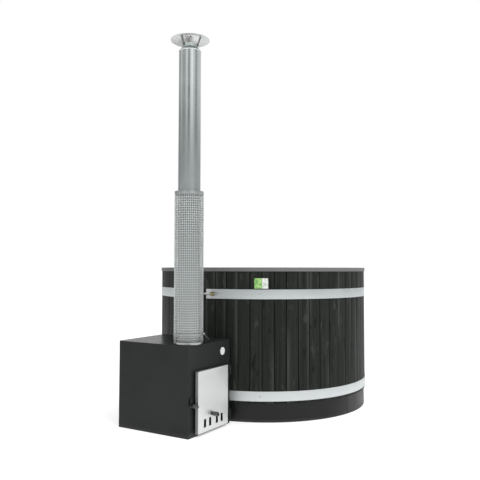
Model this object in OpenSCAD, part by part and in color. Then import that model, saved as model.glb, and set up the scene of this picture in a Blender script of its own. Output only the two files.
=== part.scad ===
// Round hot tub: staves over a plastic liner, two clamped hoops, and a wood-burning water heater beside it.
// Origin: centre of the tub on the ground. +Z up, the heater stands at -Y and its door faces +X.

/* [Tub] */
// Radius of the tub over the corners of its staves
tub_r = 800; // [700:5:900]
// Height of the rim above the ground
tub_h = 1030; // [960:10:1120]
// Number of staves round the wall
stave_count = 61; // [48:1:72]
// Thickness of a stave
stave_t = 20; // [16:1:26]
// Open joint between the faces of two staves
stave_gap = 2; // [1:0.5:3]
// Width of the bevel along each stave edge
stave_bevel = 4; // [2:0.5:6]
// Direction of one joint between staves, in degrees round the tub
joint_az = -72.7; // [-180:0.1:180]
// Height of the skirt that the staves stand on
skirt_h = 125; // [110:5:135]
// Thickness of the skirt
skirt_t = 12; // [8:1:14]
// Distance that the skirt stands back from the staves
skirt_inset = 8.6; // [5:0.1:12]
// Direction of one joint between the skirt panels, in degrees
skirt_joint_az = -11.5; // [-40:0.5:20]

/* [Rim and liner] */
// Thickness of the rim's top
rim_t = 8; // [5:1:12]
// Height of the lip that hangs over the staves
rim_lip_h = 27; // [18:1:40]
// Thickness of that lip
rim_lip_t = 4; // [3:0.5:6]
// Thickness of the liner
liner_t = 6; // [4:1:10]
// Thickness of the insulation round the liner
wall_foam_t = 28; // [15:1:40]
// Thickness of the insulation under the liner
floor_foam_t = 31; // [20:1:40]
// Radius of the cove between the liner's wall and floor
liner_cove_r = 25; // [10:5:40]

/* [Base] */
// Height of the joists under the floor
joist_h = 95; // [85:5:100]
// Width of a joist
joist_w = 70; // [45:5:90]
// Distance from joist to joist
joist_pitch = 280; // [240:10:300]
// Thickness of the round floor board
board_t = 18; // [12:1:24]

/* [Hoops] */
// Width of a hoop's band
hoop_w = 65; // [40:1:80]
// Thickness of the band
hoop_t = 2; // [1:0.5:4]
// Distance from the tub's top down to the lower edge of the upper hoop
upper_hoop_drop = 213; // [150:1:330]
// Height of the lower edge of the lower hoop
lower_hoop_z = 140.5; // [140:0.5:143]
// Direction of the upper hoop's clamp, in degrees
upper_clamp_az = -91.5; // [-100:0.5:-85]
// Direction of the lower hoop's clamp, in degrees
lower_clamp_az = 150; // [120:5:170]
// Open gap between the two ends of a band
hoop_gap = 60; // [40:5:70]
// Length of a clamp lug along the band
lug_l = 44; // [30:1:60]
// Thickness of the lug's pad
lug_t = 3; // [2:0.5:5]
// Outer diameter of the lug's sleeve
sleeve_d = 18; // [16:1:22]
// Diameter of the clamp rod
rod_d = 10; // [8:1:12]
// Width of the clamp nut across its corners
nut_d = 24; // [20:1:28]
// Length of the clamp nut
nut_l = 30; // [15:1:35]

/* [Bench] */
// Height of the seat above the middle of the upper water pipe, whose flange lies under it
seat_h = 90; // [80:2:160]
// Thickness of a seat slat
slat_t = 28; // [20:1:34]
// Distance from the tub's axis to the bench's inner edge
bench_in = 430; // [400:10:470]
// Width of the two inner slats
slat_w = 90; // [70:1:95]
// Gap between slats
slat_gap = 8; // [4:1:10]
// Gap between the bench and the liner's wall
bench_wall_gap = 9; // [5:1:20]
// Height of a bench bearer
bearer_h = 60; // [50:5:90]
// Thickness of a bearer
bearer_t = 34; // [28:2:40]
// Width of a bench leg
leg_w = 45; // [40:1:60]

/* [Drain] */
// Place of the drain across the tub
drain_x = 140; // [120:5:160]
// Place of the drain along the tub
drain_y = 300; // [250:10:340]
// Outer radius of the drain pipe
drain_r = 25; // [20:1:28]
// Wall of the drain pipe
drain_wall = 3; // [2:0.5:4]
// Height of the pipe's level run
drain_z = 50; // [46:1:52]
// Bend radius of the drain pipe
drain_bend = 40; // [36:1:42]
// Length of the valve's body
valve_l = 84; // [70:2:100]
// Length of the valve's lever
valve_lever_l = 95; // [70:5:120]

/* [Heater casing] */
// Length of the casing along the tub
case_l = 560; // [500:5:620]
// Depth of the casing away from the tub
case_w = 460; // [440:5:500]
// Height of the casing
case_h = 553; // [520:1:600]
// Distance of the casing's middle from the tub's middle
case_shift = -78; // [-100:1:-60]
// Gap between the casing and the staves
case_gap = 9; // [6:1:20]
// Thickness of the casing's sheet
case_t = 2; // [1:0.5:3]
// Radius of the casing's upright rear corners
case_corner_r = 10; // [4:1:20]
// Gap between the casing and the water jacket
jacket_gap = 8; // [5:1:12]
// Thickness of the jacket's walls
jacket_t = 2.5; // [2:0.5:4]
// Thickness of the water between jacket and firebox
water_gap = 18; // [12:1:20]
// Thickness of the firebox walls
firebox_t = 4; // [3:0.5:6]
// Radius of the two water pipes to the tub
port_r = 30; // [25:1:32]
// Wall of the water pipes
port_wall = 2.5; // [2:0.5:3]
// Height of the lower water pipe
low_port_z = 245; // [240:1:260]
// Distance from the casing's top down to the upper water pipe's middle
high_port_drop = 113; // [98:5:173]

/* [Door] */
// Distance from the casing's outer corner to the door's free edge
door_from_corner = 56; // [50:1:60]
// Width of the door
door_w = 331; // [325:1:335]
// Height of the door
door_h = 375; // [370:1:390]
// Height of the door's lower edge
door_z = 20; // [15:1:25]
// Depth of the door's folded edge
door_depth = 22; // [20:1:26]
// Gap between the casing and the door's folded edge
door_stand = 12; // [11:1:14]
// Thickness of the door's sheet
door_t = 2; // [1.5:0.5:2.5]
// Radius of the door's corners
door_corner_r = 6; // [3:1:10]
// Width of the firebox mouth
mouth_w = 220; // [200:5:225]
// Height of the firebox mouth
mouth_h = 294; // [260:1:296]
// Height of the mouth's lower edge
mouth_z = 56; // [54:1:60]
// Radius of the rope seal
rope_r = 4.5; // [4:0.5:5]

/* [Air slider] */
// Width of an air slot
slot_w = 25; // [20:1:26]
// Height of an air slot
slot_h = 51; // [40:1:54]
// Height of the slots' middle
slot_z = 74; // [70:1:76]
// Radius of a slot's corners
slot_corner_r = 3; // [1:0.5:6]
// Distance of the inner slots from the door's middle
slot_in = 38; // [36:1:40]
// Distance of the outer slots from the door's middle
slot_out = 93; // [92:1:95]
// Travel of the slider from open to shut
slider_travel = 27.5; // [26.5:0.5:28]
// Height of the slider's grip
slider_grip_z = 118; // [115:1:122]

/* [Grips] */
// Outer radius of a wound grip
grip_r = 13.5; // [12:0.5:15]
// Diameter of the grip's wire
grip_wire = 4; // [3:0.25:4.5]
// Distance from turn to turn
grip_pitch = 5; // [5:0.1:6]
// Turns of the slider's grip
slider_turns = 8; // [5:1:9]
// Turns of the latch's grip
latch_turns = 6; // [4:1:7]

/* [Hinges and latch] */
// Distance from the casing's outer corner to the hinge axis
hinge_from_corner = 433; // [430:1:438]
// Distance of the hinge axis in front of the casing
hinge_stand = 18; // [16:1:20]
// Radius of a hinge barrel
barrel_r = 10; // [8:0.5:11]
// Height of one half of a hinge
barrel_h = 30; // [24:1:32]
// Radius of the hinge pin
hinge_pin_r = 5; // [4:0.5:6]
// Height of the foot of the lower hinge
low_hinge_z = 37; // [35:1:45]
// Height of the foot of the upper hinge
high_hinge_z = 327; // [310:1:330]
// Height of the latch's pivot
latch_z = 192; // [185:1:200]
// Distance from the door's free edge to the pivot
latch_pivot_in = 22; // [20:1:24]
// Distance from the pivot to the latch's grip
latch_arm = 39; // [38:1:41]
// Distance from the pivot to the latch's nose
latch_reach = 66; // [64:1:70]
// Width of the latch bar
latch_bar_w = 14; // [12:1:16]

/* [Chimney] */
// Distance of the flue's axis from the casing's front
flue_from_front = 77.5; // [76:0.5:90]
// Distance of the flue's axis from the casing's outer side
flue_from_side = 103.5; // [103:0.5:120]
// Outer radius of the flue pipe
flue_r = 70.5; // [60:0.5:72]
// Wall of the flue pipe
flue_wall = 1; // [0.8:0.1:2]
// Height of the joint between the two lengths of pipe
flue_joint_z = 1490; // [1300:10:1495]
// Distance from the pipe's top up to the hat's edge
hat_gap = 70; // [50:5:120]
// Outer radius of the heat guard
guard_r = 93; // [90:0.5:100]
// Thickness of the guard's wire
guard_wire = 2.5; // [2:0.1:3]
// Distance from ring to ring of the guard
guard_pitch = 14.8; // [12:0.1:20]
// Number of upright wires in the guard
guard_wires = 45; // [36:3:48]
// Height of the guard's top
guard_top_z = 1505; // [1300:5:1600]
// Gap between the casing and the guard
guard_foot_gap = 4; // [2:1:10]
// Radius of the hat
hat_r = 122; // [110:1:140]
// Height of the hat's edge
hat_z = 2477; // [2100:1:2700]
// Rise of the hat from its edge to its tip
hat_rise = 34; // [20:1:45]
// Thickness of the hat's sheet
hat_t = 1.5; // [1:0.5:2]

/* [Hidden] */

$fn = 96;

// Overrun of every cut past the face that it opens
cut = 1;
// Clearance between curved faces that lie on each other
fit = 0.3;
// Running clearance round a pin
run_fit = 0.05;

// Staves
half_stave = 180 / stave_count;
stave_in_r = tub_r - stave_t;
stave_flat_r = stave_in_r * cos(half_stave);
stave_top_z = tub_h - rim_t;
tongue_share = 0.3;
tongue_l = 7;
tongue_t = stave_t * tongue_share;

// Base
skirt_out_r = tub_r - skirt_inset;
skirt_in_r = skirt_out_r - skirt_t;
skirt_panels = 4;
skirt_joint = 2;
board_r = skirt_in_r - fit;
board_top_z = joist_h + board_t;
floor_z = board_top_z + floor_foam_t + liner_t;
joist_rows = 2;

// Liner
foam_out_r = stave_flat_r - fit;
liner_r = foam_out_r - wall_foam_t - fit;
water_r = liner_r - liner_t;
rim_round = 3;

// Hoops
upper_hoop_z = tub_h - upper_hoop_drop;
hoop_in_r = tub_r + fit;
hoop_out_r = hoop_in_r + hoop_t;
rod_off_r = hoop_out_r + lug_t + sleeve_d / 2;
lug_mid = (hoop_gap + lug_l) / 2;
nut_gap = 0.3;
rod_spare = 8;
rod_l = hoop_gap + 2 * (lug_l + nut_gap + nut_l + rod_spare);
screw_r = 5;
screw_head_t = 2.5;
screws = 4;
screw_az = -61.8;

// Bench
high_port_z = case_h - high_port_drop;
seat_z = high_port_z + seat_h;
bench_arcs = 7;
bench_step = 45;
bench_start_az = 112.5;
bench_r = water_r - bench_wall_gap;
third_slat_in = bench_in + 2 * (slat_w + slat_gap);
bench_corner_r = bench_in / cos(bench_step / 2);
bracket_h = 50;
bracket_l = 32;
bearer_end = 6;
leg_in = 12;

// Drain
elbow_r = drain_r + 4;
socket_l = 18;
socket_lap = 4;
strainer_r = 45;
strainer_t = 4;
strainer_slots = 8;
strainer_slot_w = 5;
strainer_slot_in = 10;
strainer_slot_out = 22;
pipe_stub = 14;
valve_r = 33;
valve_ring_l = 20;
valve_ring_r = 37;
valve_start = 2;
valve_neck_r = 12;
valve_neck_h = 8;
valve_stem_r = 6;
valve_stem_h = 10;
valve_y = skirt_out_r + valve_start;
valve_mid_y = valve_y + valve_l / 2;
lever_w = 20;
lever_t = 5;
lever_hub_r = 13;
lever_z = drain_z + valve_r + valve_neck_h;

// Heater places
case_x0 = case_shift - case_l / 2;
case_x1 = case_shift + case_l / 2;
case_y1 = -tub_r - case_gap;
case_y0 = case_y1 - case_w;
port_x = case_shift;
jacket_x0 = case_x0 + case_t + jacket_gap;
jacket_x1 = case_x1 - case_t;
jacket_y0 = case_y0 + case_t + jacket_gap;
jacket_y1 = case_y1 - case_t - jacket_gap;
jacket_z0 = case_t + jacket_gap;
jacket_z1 = case_h - case_t - jacket_gap;
wall_in = jacket_t + water_gap;
fire_x0 = jacket_x0 + wall_in;
fire_y0 = jacket_y0 + wall_in;
fire_y1 = jacket_y1 - wall_in;
fire_z0 = jacket_z0 + wall_in;
fire_z1 = jacket_z1 - wall_in;
foot_l = 30;
foot_h = jacket_z0 - case_t;

// Firebox fittings
grate_z = 135;
grate_t = 12;
grate_margin = 6;
grate_bar = 12;
grate_slot = 10;
ledge_w = 14;
ledge_t = 4;
pan_wall = 2;
ash_h = 40;
ash_gap = 20;
ash_pull_w = 60;
ash_pull_t = 4;
baffle_t = 5;
baffle_z_share = 0.8;
baffle_share = 0.55;
baffle_gap = 1;

// Water pipe ends
flange_r = 48;
flange_t = 12;
gasket_t = 3;
port_inner_l = 30;
screen_t = 3;
screen_hole_r = 6;
screen_ring_r = 16;
screen_holes = 6;

// Plug
plug_r = 25;
plug_t = 3;
plug_shank_r = 14;
plug_shank_l = case_t - fit;
plug_slot_w = 3;
plug_slot_l = 18;
plug_slot_d = 1;
plug_from_corner = 371;
plug_drop = 70;
plug_z = case_h - plug_drop;

// Chimney places
flue_x = case_x1 - flue_from_front;
flue_y = case_y0 + flue_from_side;
flue_top_z = hat_z - hat_gap;
spigot_up = 45;
collar_w = 12;
collar_t = 3;
coupler_l = 40;
bead_r = 2;
guard_z0 = case_h + guard_foot_gap;
guard_band_h = 22;
guard_foot_h = 12;
guard_band_t = 1.2;
rod_ring_r = guard_r - guard_wire * 1.5 - run_fit;
guard_run = guard_top_z - guard_z0 - guard_band_h - guard_foot_h;
guard_rows = floor(guard_run / guard_pitch) - 1;
ring_start_z = guard_z0 + guard_foot_h + (guard_run - (guard_rows - 1) * guard_pitch) / 2;
standoff_r = 4;
standoffs = 3;
clamp_up = 55;
clamp_z = guard_z0 + clamp_up;
clamp_h = 9;
clamp_t = 1;
clamp_az = 31.4;
clamp_tail_l = 48;
clamp_tail_drop = 50;
clamp_screw_r = 5;
clamp_screw_l = 24;
shoulder_h = 20;
spout_r = 52;
spout_h = 22;
leg_strap_w = 18;
leg_strap_t = 2;
leg_az = -103.7;
hat_leg_count = 3;
leg_foot_h = 15;

// Door places
door_y0 = case_y0 + door_from_corner;
door_y1 = door_y0 + door_w;
door_mid_y = (door_y0 + door_y1) / 2;
door_x0 = case_x1 + door_stand;
door_x1 = door_x0 + door_depth;
door_back_t = 3;
door_back_in = 2;
mouth_y0 = door_mid_y - mouth_w / 2;
mouth_y1 = mouth_y0 + mouth_w;
frame_t = door_stand + door_back_in - 2 * rope_r - 2 * fit;
frame_w = 18;
rope_in = 4;
rail_h = 6;
rail_lip = 5;
slider_t = 2;
slider_side = 15;
slider_lap_y = 5;
slider_lap = 9;
slot_gap = 6;
stem_r = 4;
stem_slot_gap = 1;
air_gap = 5;
washer_r = 12;
washer_t = 2;
hub_l = 8;
core_r = 5;
slider_y = door_mid_y - slider_travel / 2;
slider_z0 = slot_z - slot_h / 2 - slot_gap;
slider_z1 = slot_z + slot_h / 2 + slot_gap;
slider_left = slot_out + slot_w / 2 + slider_travel + slider_lap_y;
slider_right = slot_out + slot_w / 2 + slider_side;
steps_per_turn = 12;
wire_sides = 6;
coil_in_r = (grip_r - grip_wire / 2) * cos(180 / steps_per_turn) - grip_wire / 2;
hub_r = coil_in_r - fit;

// Hinge and latch places
hinge_x = case_x1 + hinge_stand;
hinge_y = case_y0 + hinge_from_corner;
hinge_seam = 1;
hinge_leaf_t = 6;
lever_bar_t = 5;
latch_stand = 4;
latch_x = case_x1 + latch_stand;
latch_y = door_y0 + latch_pivot_in;
latch_pin_r = 5;
latch_boss_r = 9;
pin_head_r = 8;
pin_head_t = 1.5;
keeper_w = 16;
keeper_t = 3;
keeper_lift = 11;
keeper_h = 32;
keeper_roof = 12;
keeper_air = 1;
keeper_side = 2;

module ring(r_out, r_in, h) {
    difference() {
        cylinder(r = r_out, h = h);
        translate([0, 0, -cut]) cylinder(r = r_in, h = h + 2 * cut);
    }
}

// A tube wall cut to the arc between two directions
module arc_band(r_out, r_in, h, from, to) {
    rotate([0, 0, from])
        rotate_extrude(angle = to - from, $fn = 180)
            translate([r_in, 0]) square([r_out - r_in, h]);
}

// A box from its low corner to its high corner
module span(low, high) {
    translate(low) cube(high - low);
}

// A cylinder that lies along X
module rod_x(r, l) {
    rotate([0, 90, 0]) cylinder(r = r, h = l);
}

// A cylinder that lies along Y
module rod_y(r, l) {
    rotate([-90, 0, 0]) cylinder(r = r, h = l);
}

// A plate across X with rounded corners: y and z from low to high
module rounded_plate(low, high, r, t) {
    w = high[0] - low[0];
    h = high[1] - low[1];
    translate([0, low[0], low[1]])
        rotate([90, 0, 90])
            linear_extrude(t) {
                translate([r, 0]) square([w - 2 * r, h]);
                translate([0, r]) square([w, h - 2 * r]);
                for (x = [r, w - r], y = [r, h - r]) translate([x, y]) circle(r = r);
            }
}

// An upright slot through X with round ends
module slot_x(w, h, t) {
    rotate([90, 0, 90])
        linear_extrude(t) {
            translate([-w / 2, -(h - w) / 2]) square([w, h - w]);
            for (s = [-1, 1]) translate([0, s * (h - w) / 2]) circle(d = w);
        }
}

// Staves: the side edges follow the joint lines, with a tongue on one and a groove in the other
function on_joint(side, r, off) =
    [r * cos(side * half_stave) - off * sin(side * half_stave),
     r * sin(side * half_stave) + off * cos(side * half_stave)];

module stave_outline() {
    g = stave_gap / 2;
    mid = tub_r - stave_t / 2;
    lap = tongue_t / 2;
    room = lap + fit;
    reach = tongue_l - g;
    polygon([
        on_joint(1, stave_in_r, -g),
        on_joint(-1, stave_in_r, g),
        on_joint(-1, mid - room, g),
        on_joint(-1, mid - room, reach + fit),
        on_joint(-1, mid + room, reach + fit),
        on_joint(-1, mid + room, g),
        on_joint(-1, tub_r - stave_bevel, g),
        on_joint(-1, tub_r, g + stave_bevel),
        on_joint(1, tub_r, -g - stave_bevel),
        on_joint(1, tub_r - stave_bevel, -g),
        on_joint(1, mid + lap, -g),
        on_joint(1, mid + lap, reach),
        on_joint(1, mid - lap, reach),
        on_joint(1, mid - lap, -g)
    ]);
}

module port_holes(r, from_y, to_y) {
    for (z = [low_port_z, high_port_z])
        translate([port_x, from_y, z]) rod_y(r, to_y - from_y);
}

module staves() {
    color("#2b2c2a")
        difference() {
            for (i = [0 : stave_count - 1])
                rotate([0, 0, joint_az + (2 * i + 1) * half_stave])
                    translate([0, 0, skirt_h])
                        linear_extrude(stave_top_z - skirt_h) stave_outline();
            port_holes(port_r + fit, -tub_r - stave_t, -stave_in_r / 2);
        }
}

// Base of the tub
module floor_joists() {
    color("#6b5a3e")
        for (i = [-joist_rows : joist_rows]) {
            edge = abs(i) * joist_pitch + joist_w / 2;
            half = sqrt(pow(skirt_in_r - fit, 2) - pow(edge, 2));
            span([i * joist_pitch - joist_w / 2, -half, 0], [i * joist_pitch + joist_w / 2, half, joist_h]);
        }
}

module floor_board() {
    color("#8a7a58")
        difference() {
            translate([0, 0, joist_h]) cylinder(r = board_r, h = board_t, $fn = 180);
            translate([drain_x, drain_y, 0]) cylinder(r = elbow_r + fit, h = tub_h);
        }
}

module base_skirt() {
    color("#1d1e1d")
        difference() {
            for (i = [0 : skirt_panels - 1]) {
                trim = asin(skirt_joint / 2 / skirt_out_r);
                from = skirt_joint_az + i * 360 / skirt_panels;
                arc_band(skirt_out_r, skirt_in_r, skirt_h, from + trim, from + 360 / skirt_panels - trim);
            }
            translate([drain_x, drain_y, drain_z]) rod_y(drain_r + fit, tub_r);
        }
}

module floor_insulation() {
    color("#d8d3c0")
        difference() {
            translate([0, 0, board_top_z]) cylinder(r = liner_r, h = floor_foam_t, $fn = 180);
            translate([drain_x, drain_y, 0]) cylinder(r = drain_r + fit, h = tub_h);
        }
}

module wall_insulation() {
    color("#d8d3c0")
        difference() {
            translate([0, 0, board_top_z])
                ring(foam_out_r, liner_r + fit, stave_top_z - board_top_z, $fn = 180);
            port_holes(port_r + fit, -tub_r, -liner_r / 2);
        }
}

// Liner: a welded plastic drum with a cove at its foot
module tub_liner() {
    color("#8d9295")
        difference() {
            rotate_extrude($fn = 180) {
                translate([water_r, floor_z - liner_t]) square([liner_t, stave_top_z - floor_z + liner_t]);
                translate([0, floor_z - liner_t]) square([liner_r, liner_t]);
                difference() {
                    translate([water_r - liner_cove_r, floor_z]) square(liner_cove_r);
                    translate([water_r - liner_cove_r, floor_z + liner_cove_r]) circle(r = liner_cove_r);
                }
            }
            port_holes(port_r + fit, -liner_r - cut, -water_r / 2);
            translate([drain_x, drain_y, floor_z - liner_t - cut])
                cylinder(r = drain_r - drain_wall, h = liner_t + 2 * cut);
        }
}

module rim_cap() {
    in_r = tub_r + fit;
    out_r = in_r + rim_lip_t;
    color("#a3a8aa")
        rotate_extrude($fn = 180) {
            translate([water_r + rim_round, tub_h - rim_t]) square([out_r - water_r - 2 * rim_round, rim_t]);
            translate([water_r, tub_h - rim_t]) square([rim_round, rim_t - rim_round]);
            translate([in_r, tub_h - rim_lip_h]) square([rim_lip_t, rim_lip_h - rim_round]);
            for (x = [water_r + rim_round, out_r - rim_round])
                translate([x, tub_h - rim_round]) circle(r = rim_round, $fn = 48);
        }
}

// Hoops: an open band whose two ends are drawn together by a rod through two lugs
module hoop(z, az) {
    trim = asin(hoop_gap / 2 / hoop_out_r);
    color("#9a9c9c")
        translate([0, 0, z]) arc_band(hoop_out_r, hoop_in_r, hoop_w, az + trim, az + 360 - trim);
}

module upper_hoop() { hoop(upper_hoop_z, upper_clamp_az); }

module lower_hoop() { hoop(lower_hoop_z, lower_clamp_az); }

// Places its children at a clamp: X runs outwards from the tub, Y along the rod
module at_clamps() {
    translate([0, 0, upper_hoop_z + hoop_w / 2]) rotate([0, 0, upper_clamp_az]) children();
    translate([0, 0, lower_hoop_z + hoop_w / 2]) rotate([0, 0, lower_clamp_az]) children();
}

module hoop_lug(side) {
    near = asin(hoop_gap / 2 / hoop_out_r);
    far = asin((hoop_gap / 2 + lug_l) / hoop_out_r);
    from = side > 0 ? near : -far;
    to = side > 0 ? far : -near;
    difference() {
        union() {
            translate([0, 0, -hoop_w / 2])
                arc_band(hoop_out_r + fit + lug_t, hoop_out_r + fit, hoop_w, from, to);
            translate([hoop_out_r + fit, side * lug_mid - lug_l / 2, -sleeve_d / 2])
                cube([rod_off_r - hoop_out_r - fit, lug_l, sleeve_d]);
            translate([rod_off_r, side * lug_mid - lug_l / 2, 0]) rod_y(sleeve_d / 2, lug_l);
        }
        translate([rod_off_r, -rod_l / 2, 0]) rod_y(rod_d / 2 + fit, rod_l);
        translate([0, 0, -hoop_w]) cylinder(r = hoop_out_r + fit, h = 2 * hoop_w, $fn = 180);
    }
}

module hoop_lugs() {
    color("#a8aaaa") at_clamps() for (side = [-1, 1]) hoop_lug(side);
}

module clamp_rods() {
    color("#b8baba") at_clamps() translate([rod_off_r, -rod_l / 2, 0]) rod_y(rod_d / 2, rod_l);
}

module clamp_nuts() {
    color("#a8884a")
        at_clamps()
            for (side = [-1, 1])
                translate([rod_off_r, side * (hoop_gap / 2 + lug_l + nut_gap + nut_l / 2) - nut_l / 2, 0])
                    difference() {
                        rotate([-90, 0, 0]) cylinder(d = nut_d, h = nut_l, $fn = 6);
                        translate([0, -cut, 0]) rod_y(rod_d / 2 + fit, nut_l + 2 * cut);
                    }
}

module hoop_screws() {
    color("#b0b2b2")
        for (z = [upper_hoop_z, lower_hoop_z], i = [0 : screws - 1])
            rotate([0, 0, screw_az + i * 360 / screws])
                translate([hoop_out_r + fit, 0, z + hoop_w / 2])
                    intersection() {
                        rod_x(screw_r, screw_head_t);
                        translate([-screw_r, 0, 0]) sphere(r = screw_r + screw_head_t, $fn = 48);
                    }
}

// Bench: mitred slats on radial bearers, with a gap in the ring where bathers step in
module slat(near, far) {
    half = bench_step / 2;
    side = slat_gap / 2 / cos(half);
    intersection() {
        linear_extrude(slat_t)
            polygon([
                [near, -near * tan(half) + side],
                [far, -far * tan(half) + side],
                [far, far * tan(half) - side],
                [near, near * tan(half) - side]
            ]);
        cylinder(r = bench_r, h = slat_t, $fn = 180);
    }
}

module bench_slats() {
    color("#a3764a")
        for (i = [0 : bench_arcs - 1])
            rotate([0, 0, bench_start_az + (i + 0.5) * bench_step])
                translate([0, 0, seat_z - slat_t]) {
                    slat(bench_in, bench_in + slat_w);
                    slat(bench_in + slat_w + slat_gap, bench_in + 2 * slat_w + slat_gap);
                    slat(third_slat_in, bench_r + slat_gap);
                }
}

// Places its children on each radial line of the bench: X runs outwards
module at_bearers() {
    for (i = [0 : bench_arcs]) rotate([0, 0, bench_start_az + i * bench_step]) children();
}

module bench_bearers() {
    z0 = seat_z - slat_t - bearer_h;
    color("#93683f")
        at_bearers()
            span([bench_corner_r + bearer_end, -bearer_t / 2, z0],
                 [bench_r - bearer_end, bearer_t / 2, z0 + bearer_h]);
}

module bench_legs() {
    color("#93683f")
        at_bearers()
            span([bench_corner_r + leg_in, -leg_w / 2, floor_z],
                 [bench_corner_r + leg_in + leg_w, leg_w / 2, seat_z - slat_t - bearer_h]);
}

module bench_brackets() {
    z1 = seat_z - slat_t - bearer_h;
    color("#8d9295")
        intersection() {
            at_bearers()
                span([bench_r - bracket_l, -bearer_t / 2, z1 - bracket_h], [liner_r, bearer_t / 2, z1]);
            cylinder(r = water_r - fit, h = tub_h, $fn = 180);
        }
}

// Drain
module drain_strainer() {
    spigot_r = drain_r - drain_wall - fit;
    color("#c9cbcb")
        translate([drain_x, drain_y, 0])
            difference() {
                union() {
                    translate([0, 0, floor_z]) cylinder(r = strainer_r, h = strainer_t);
                    translate([0, 0, floor_z - liner_t - pipe_stub])
                        ring(spigot_r, spigot_r - drain_wall, liner_t + pipe_stub);
                }
                translate([0, 0, floor_z - cut])
                    for (i = [0 : strainer_slots - 1])
                        rotate([0, 0, i * 360 / strainer_slots])
                            translate([strainer_slot_in, -strainer_slot_w / 2, 0])
                                cube([strainer_slot_out - strainer_slot_in, strainer_slot_w,
                                      strainer_t + 2 * cut]);
            }
}

module drain_bend_rod(r) {
    translate([drain_x, drain_y + drain_bend, drain_z + drain_bend])
        rotate([90, 0, 90])
            rotate([0, 0, 180])
                rotate_extrude(angle = 90)
                    translate([drain_bend, 0]) circle(r = r);
}

// Drain pipe: an upright tube and a level one, both pushed into the sockets of an elbow
module drain_pipe() {
    bore_r = drain_r - drain_wall;
    bend_z = drain_z + drain_bend;
    bend_y = drain_y + drain_bend;
    pipe_z = bend_z + fit;
    pipe_y = bend_y + fit;
    end_y = skirt_out_r + valve_start + pipe_stub;
    color("#7f8588") {
        translate([drain_x, drain_y, pipe_z]) ring(drain_r, bore_r, floor_z - liner_t - pipe_z);
        translate([drain_x, pipe_y, drain_z])
            difference() {
                rod_y(drain_r, end_y - pipe_y);
                translate([0, -cut, 0]) rod_y(bore_r, end_y - pipe_y + 2 * cut);
            }
        difference() {
            union() {
                drain_bend_rod(drain_r);
                translate([drain_x, drain_y, bend_z - socket_lap])
                    cylinder(r = elbow_r, h = socket_l + socket_lap);
                translate([drain_x, bend_y - socket_lap, drain_z]) rod_y(elbow_r, socket_l + socket_lap);
            }
            drain_bend_rod(bore_r);
            translate([drain_x, drain_y, bend_z]) cylinder(r = drain_r + fit, h = socket_l + cut);
            translate([drain_x, bend_y, drain_z]) rod_y(drain_r + fit, socket_l + cut);
        }
    }
}

module valve_body() {
    color("#5b6063")
        translate([drain_x, valve_y, drain_z])
            difference() {
                union() {
                    rod_y(valve_r, valve_l);
                    rod_y(valve_ring_r, valve_ring_l);
                    translate([0, valve_l - valve_ring_l, 0]) rod_y(valve_ring_r, valve_ring_l);
                    translate([0, valve_l / 2, 0]) cylinder(r = valve_neck_r, h = valve_r + valve_neck_h);
                    translate([0, valve_l / 2, 0])
                        cylinder(r = valve_stem_r, h = valve_r + valve_neck_h + valve_stem_h);
                }
                translate([0, -cut, 0]) rod_y(drain_r + fit, pipe_stub + cut);
                rod_y(drain_r - drain_wall, valve_l / 2 - valve_neck_r);
                translate([0, valve_l / 2 + valve_neck_r, 0])
                    rod_y(drain_r - drain_wall, valve_l / 2 - valve_neck_r + cut);
            }
}

module valve_lever() {
    color("#b3262a")
        translate([drain_x, valve_mid_y, lever_z + fit])
            difference() {
                union() {
                    cylinder(r = lever_hub_r, h = valve_stem_h - fit);
                    translate([0, -lever_w / 2, 0]) cube([valve_lever_l - lever_w / 2, lever_w, lever_t]);
                    translate([valve_lever_l - lever_w / 2, 0, 0]) cylinder(r = lever_w / 2, h = lever_t);
                }
                translate([0, 0, -cut]) cylinder(r = valve_stem_r + run_fit, h = valve_stem_h + 2 * cut);
            }
}

// Heater casing: three folded walls, a front, a top and a bottom pan
module case_outline(inset, r) {
    x0 = case_x0 + inset;
    y0 = case_y0 + inset;
    y1 = case_y1 - inset;
    translate([x0 + r, y0]) square([case_x1 - case_t - x0 - r, y1 - y0]);
    translate([x0, y0 + r]) square([r, y1 - y0 - 2 * r]);
    for (y = [y0 + r, y1 - r]) translate([x0 + r, y]) circle(r = r);
}

module heater_casing() {
    color("#333534")
        difference() {
            translate([0, 0, case_t])
                linear_extrude(case_h - 2 * case_t)
                    difference() {
                        case_outline(0, case_corner_r);
                        case_outline(case_t, case_corner_r - case_t);
                    }
            port_holes(port_r + fit, case_y1 - case_t - cut, case_y1 + cut);
        }
}

module front_panel() {
    frame_y0 = mouth_y0 - frame_w;
    frame_y1 = mouth_y1 + frame_w;
    color("#333534")
        difference() {
            union() {
                span([case_x1 - case_t, case_y0, case_t], [case_x1, case_y1, case_h - case_t]);
                span([case_x1, frame_y0, mouth_z - frame_w],
                     [case_x1 + frame_t, frame_y1, mouth_z + mouth_h + frame_w]);
            }
            span([case_x1 - case_t - cut, mouth_y0, mouth_z],
                 [case_x1 + frame_t + cut, mouth_y1, mouth_z + mouth_h]);
            translate([case_x1 - case_t - cut, case_y0 + plug_from_corner, plug_z])
                rod_x(plug_shank_r + fit, case_t + 2 * cut);
        }
}

module top_plate() {
    color("#3a3c3b")
        difference() {
            translate([0, 0, case_h - case_t])
                linear_extrude(case_t) {
                    case_outline(0, case_corner_r);
                    translate([case_x1 - case_t, case_y0]) square([case_t, case_w]);
                }
            translate([flue_x, flue_y, case_h - case_t - cut]) cylinder(r = flue_r, h = case_t + 2 * cut);
        }
}

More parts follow.
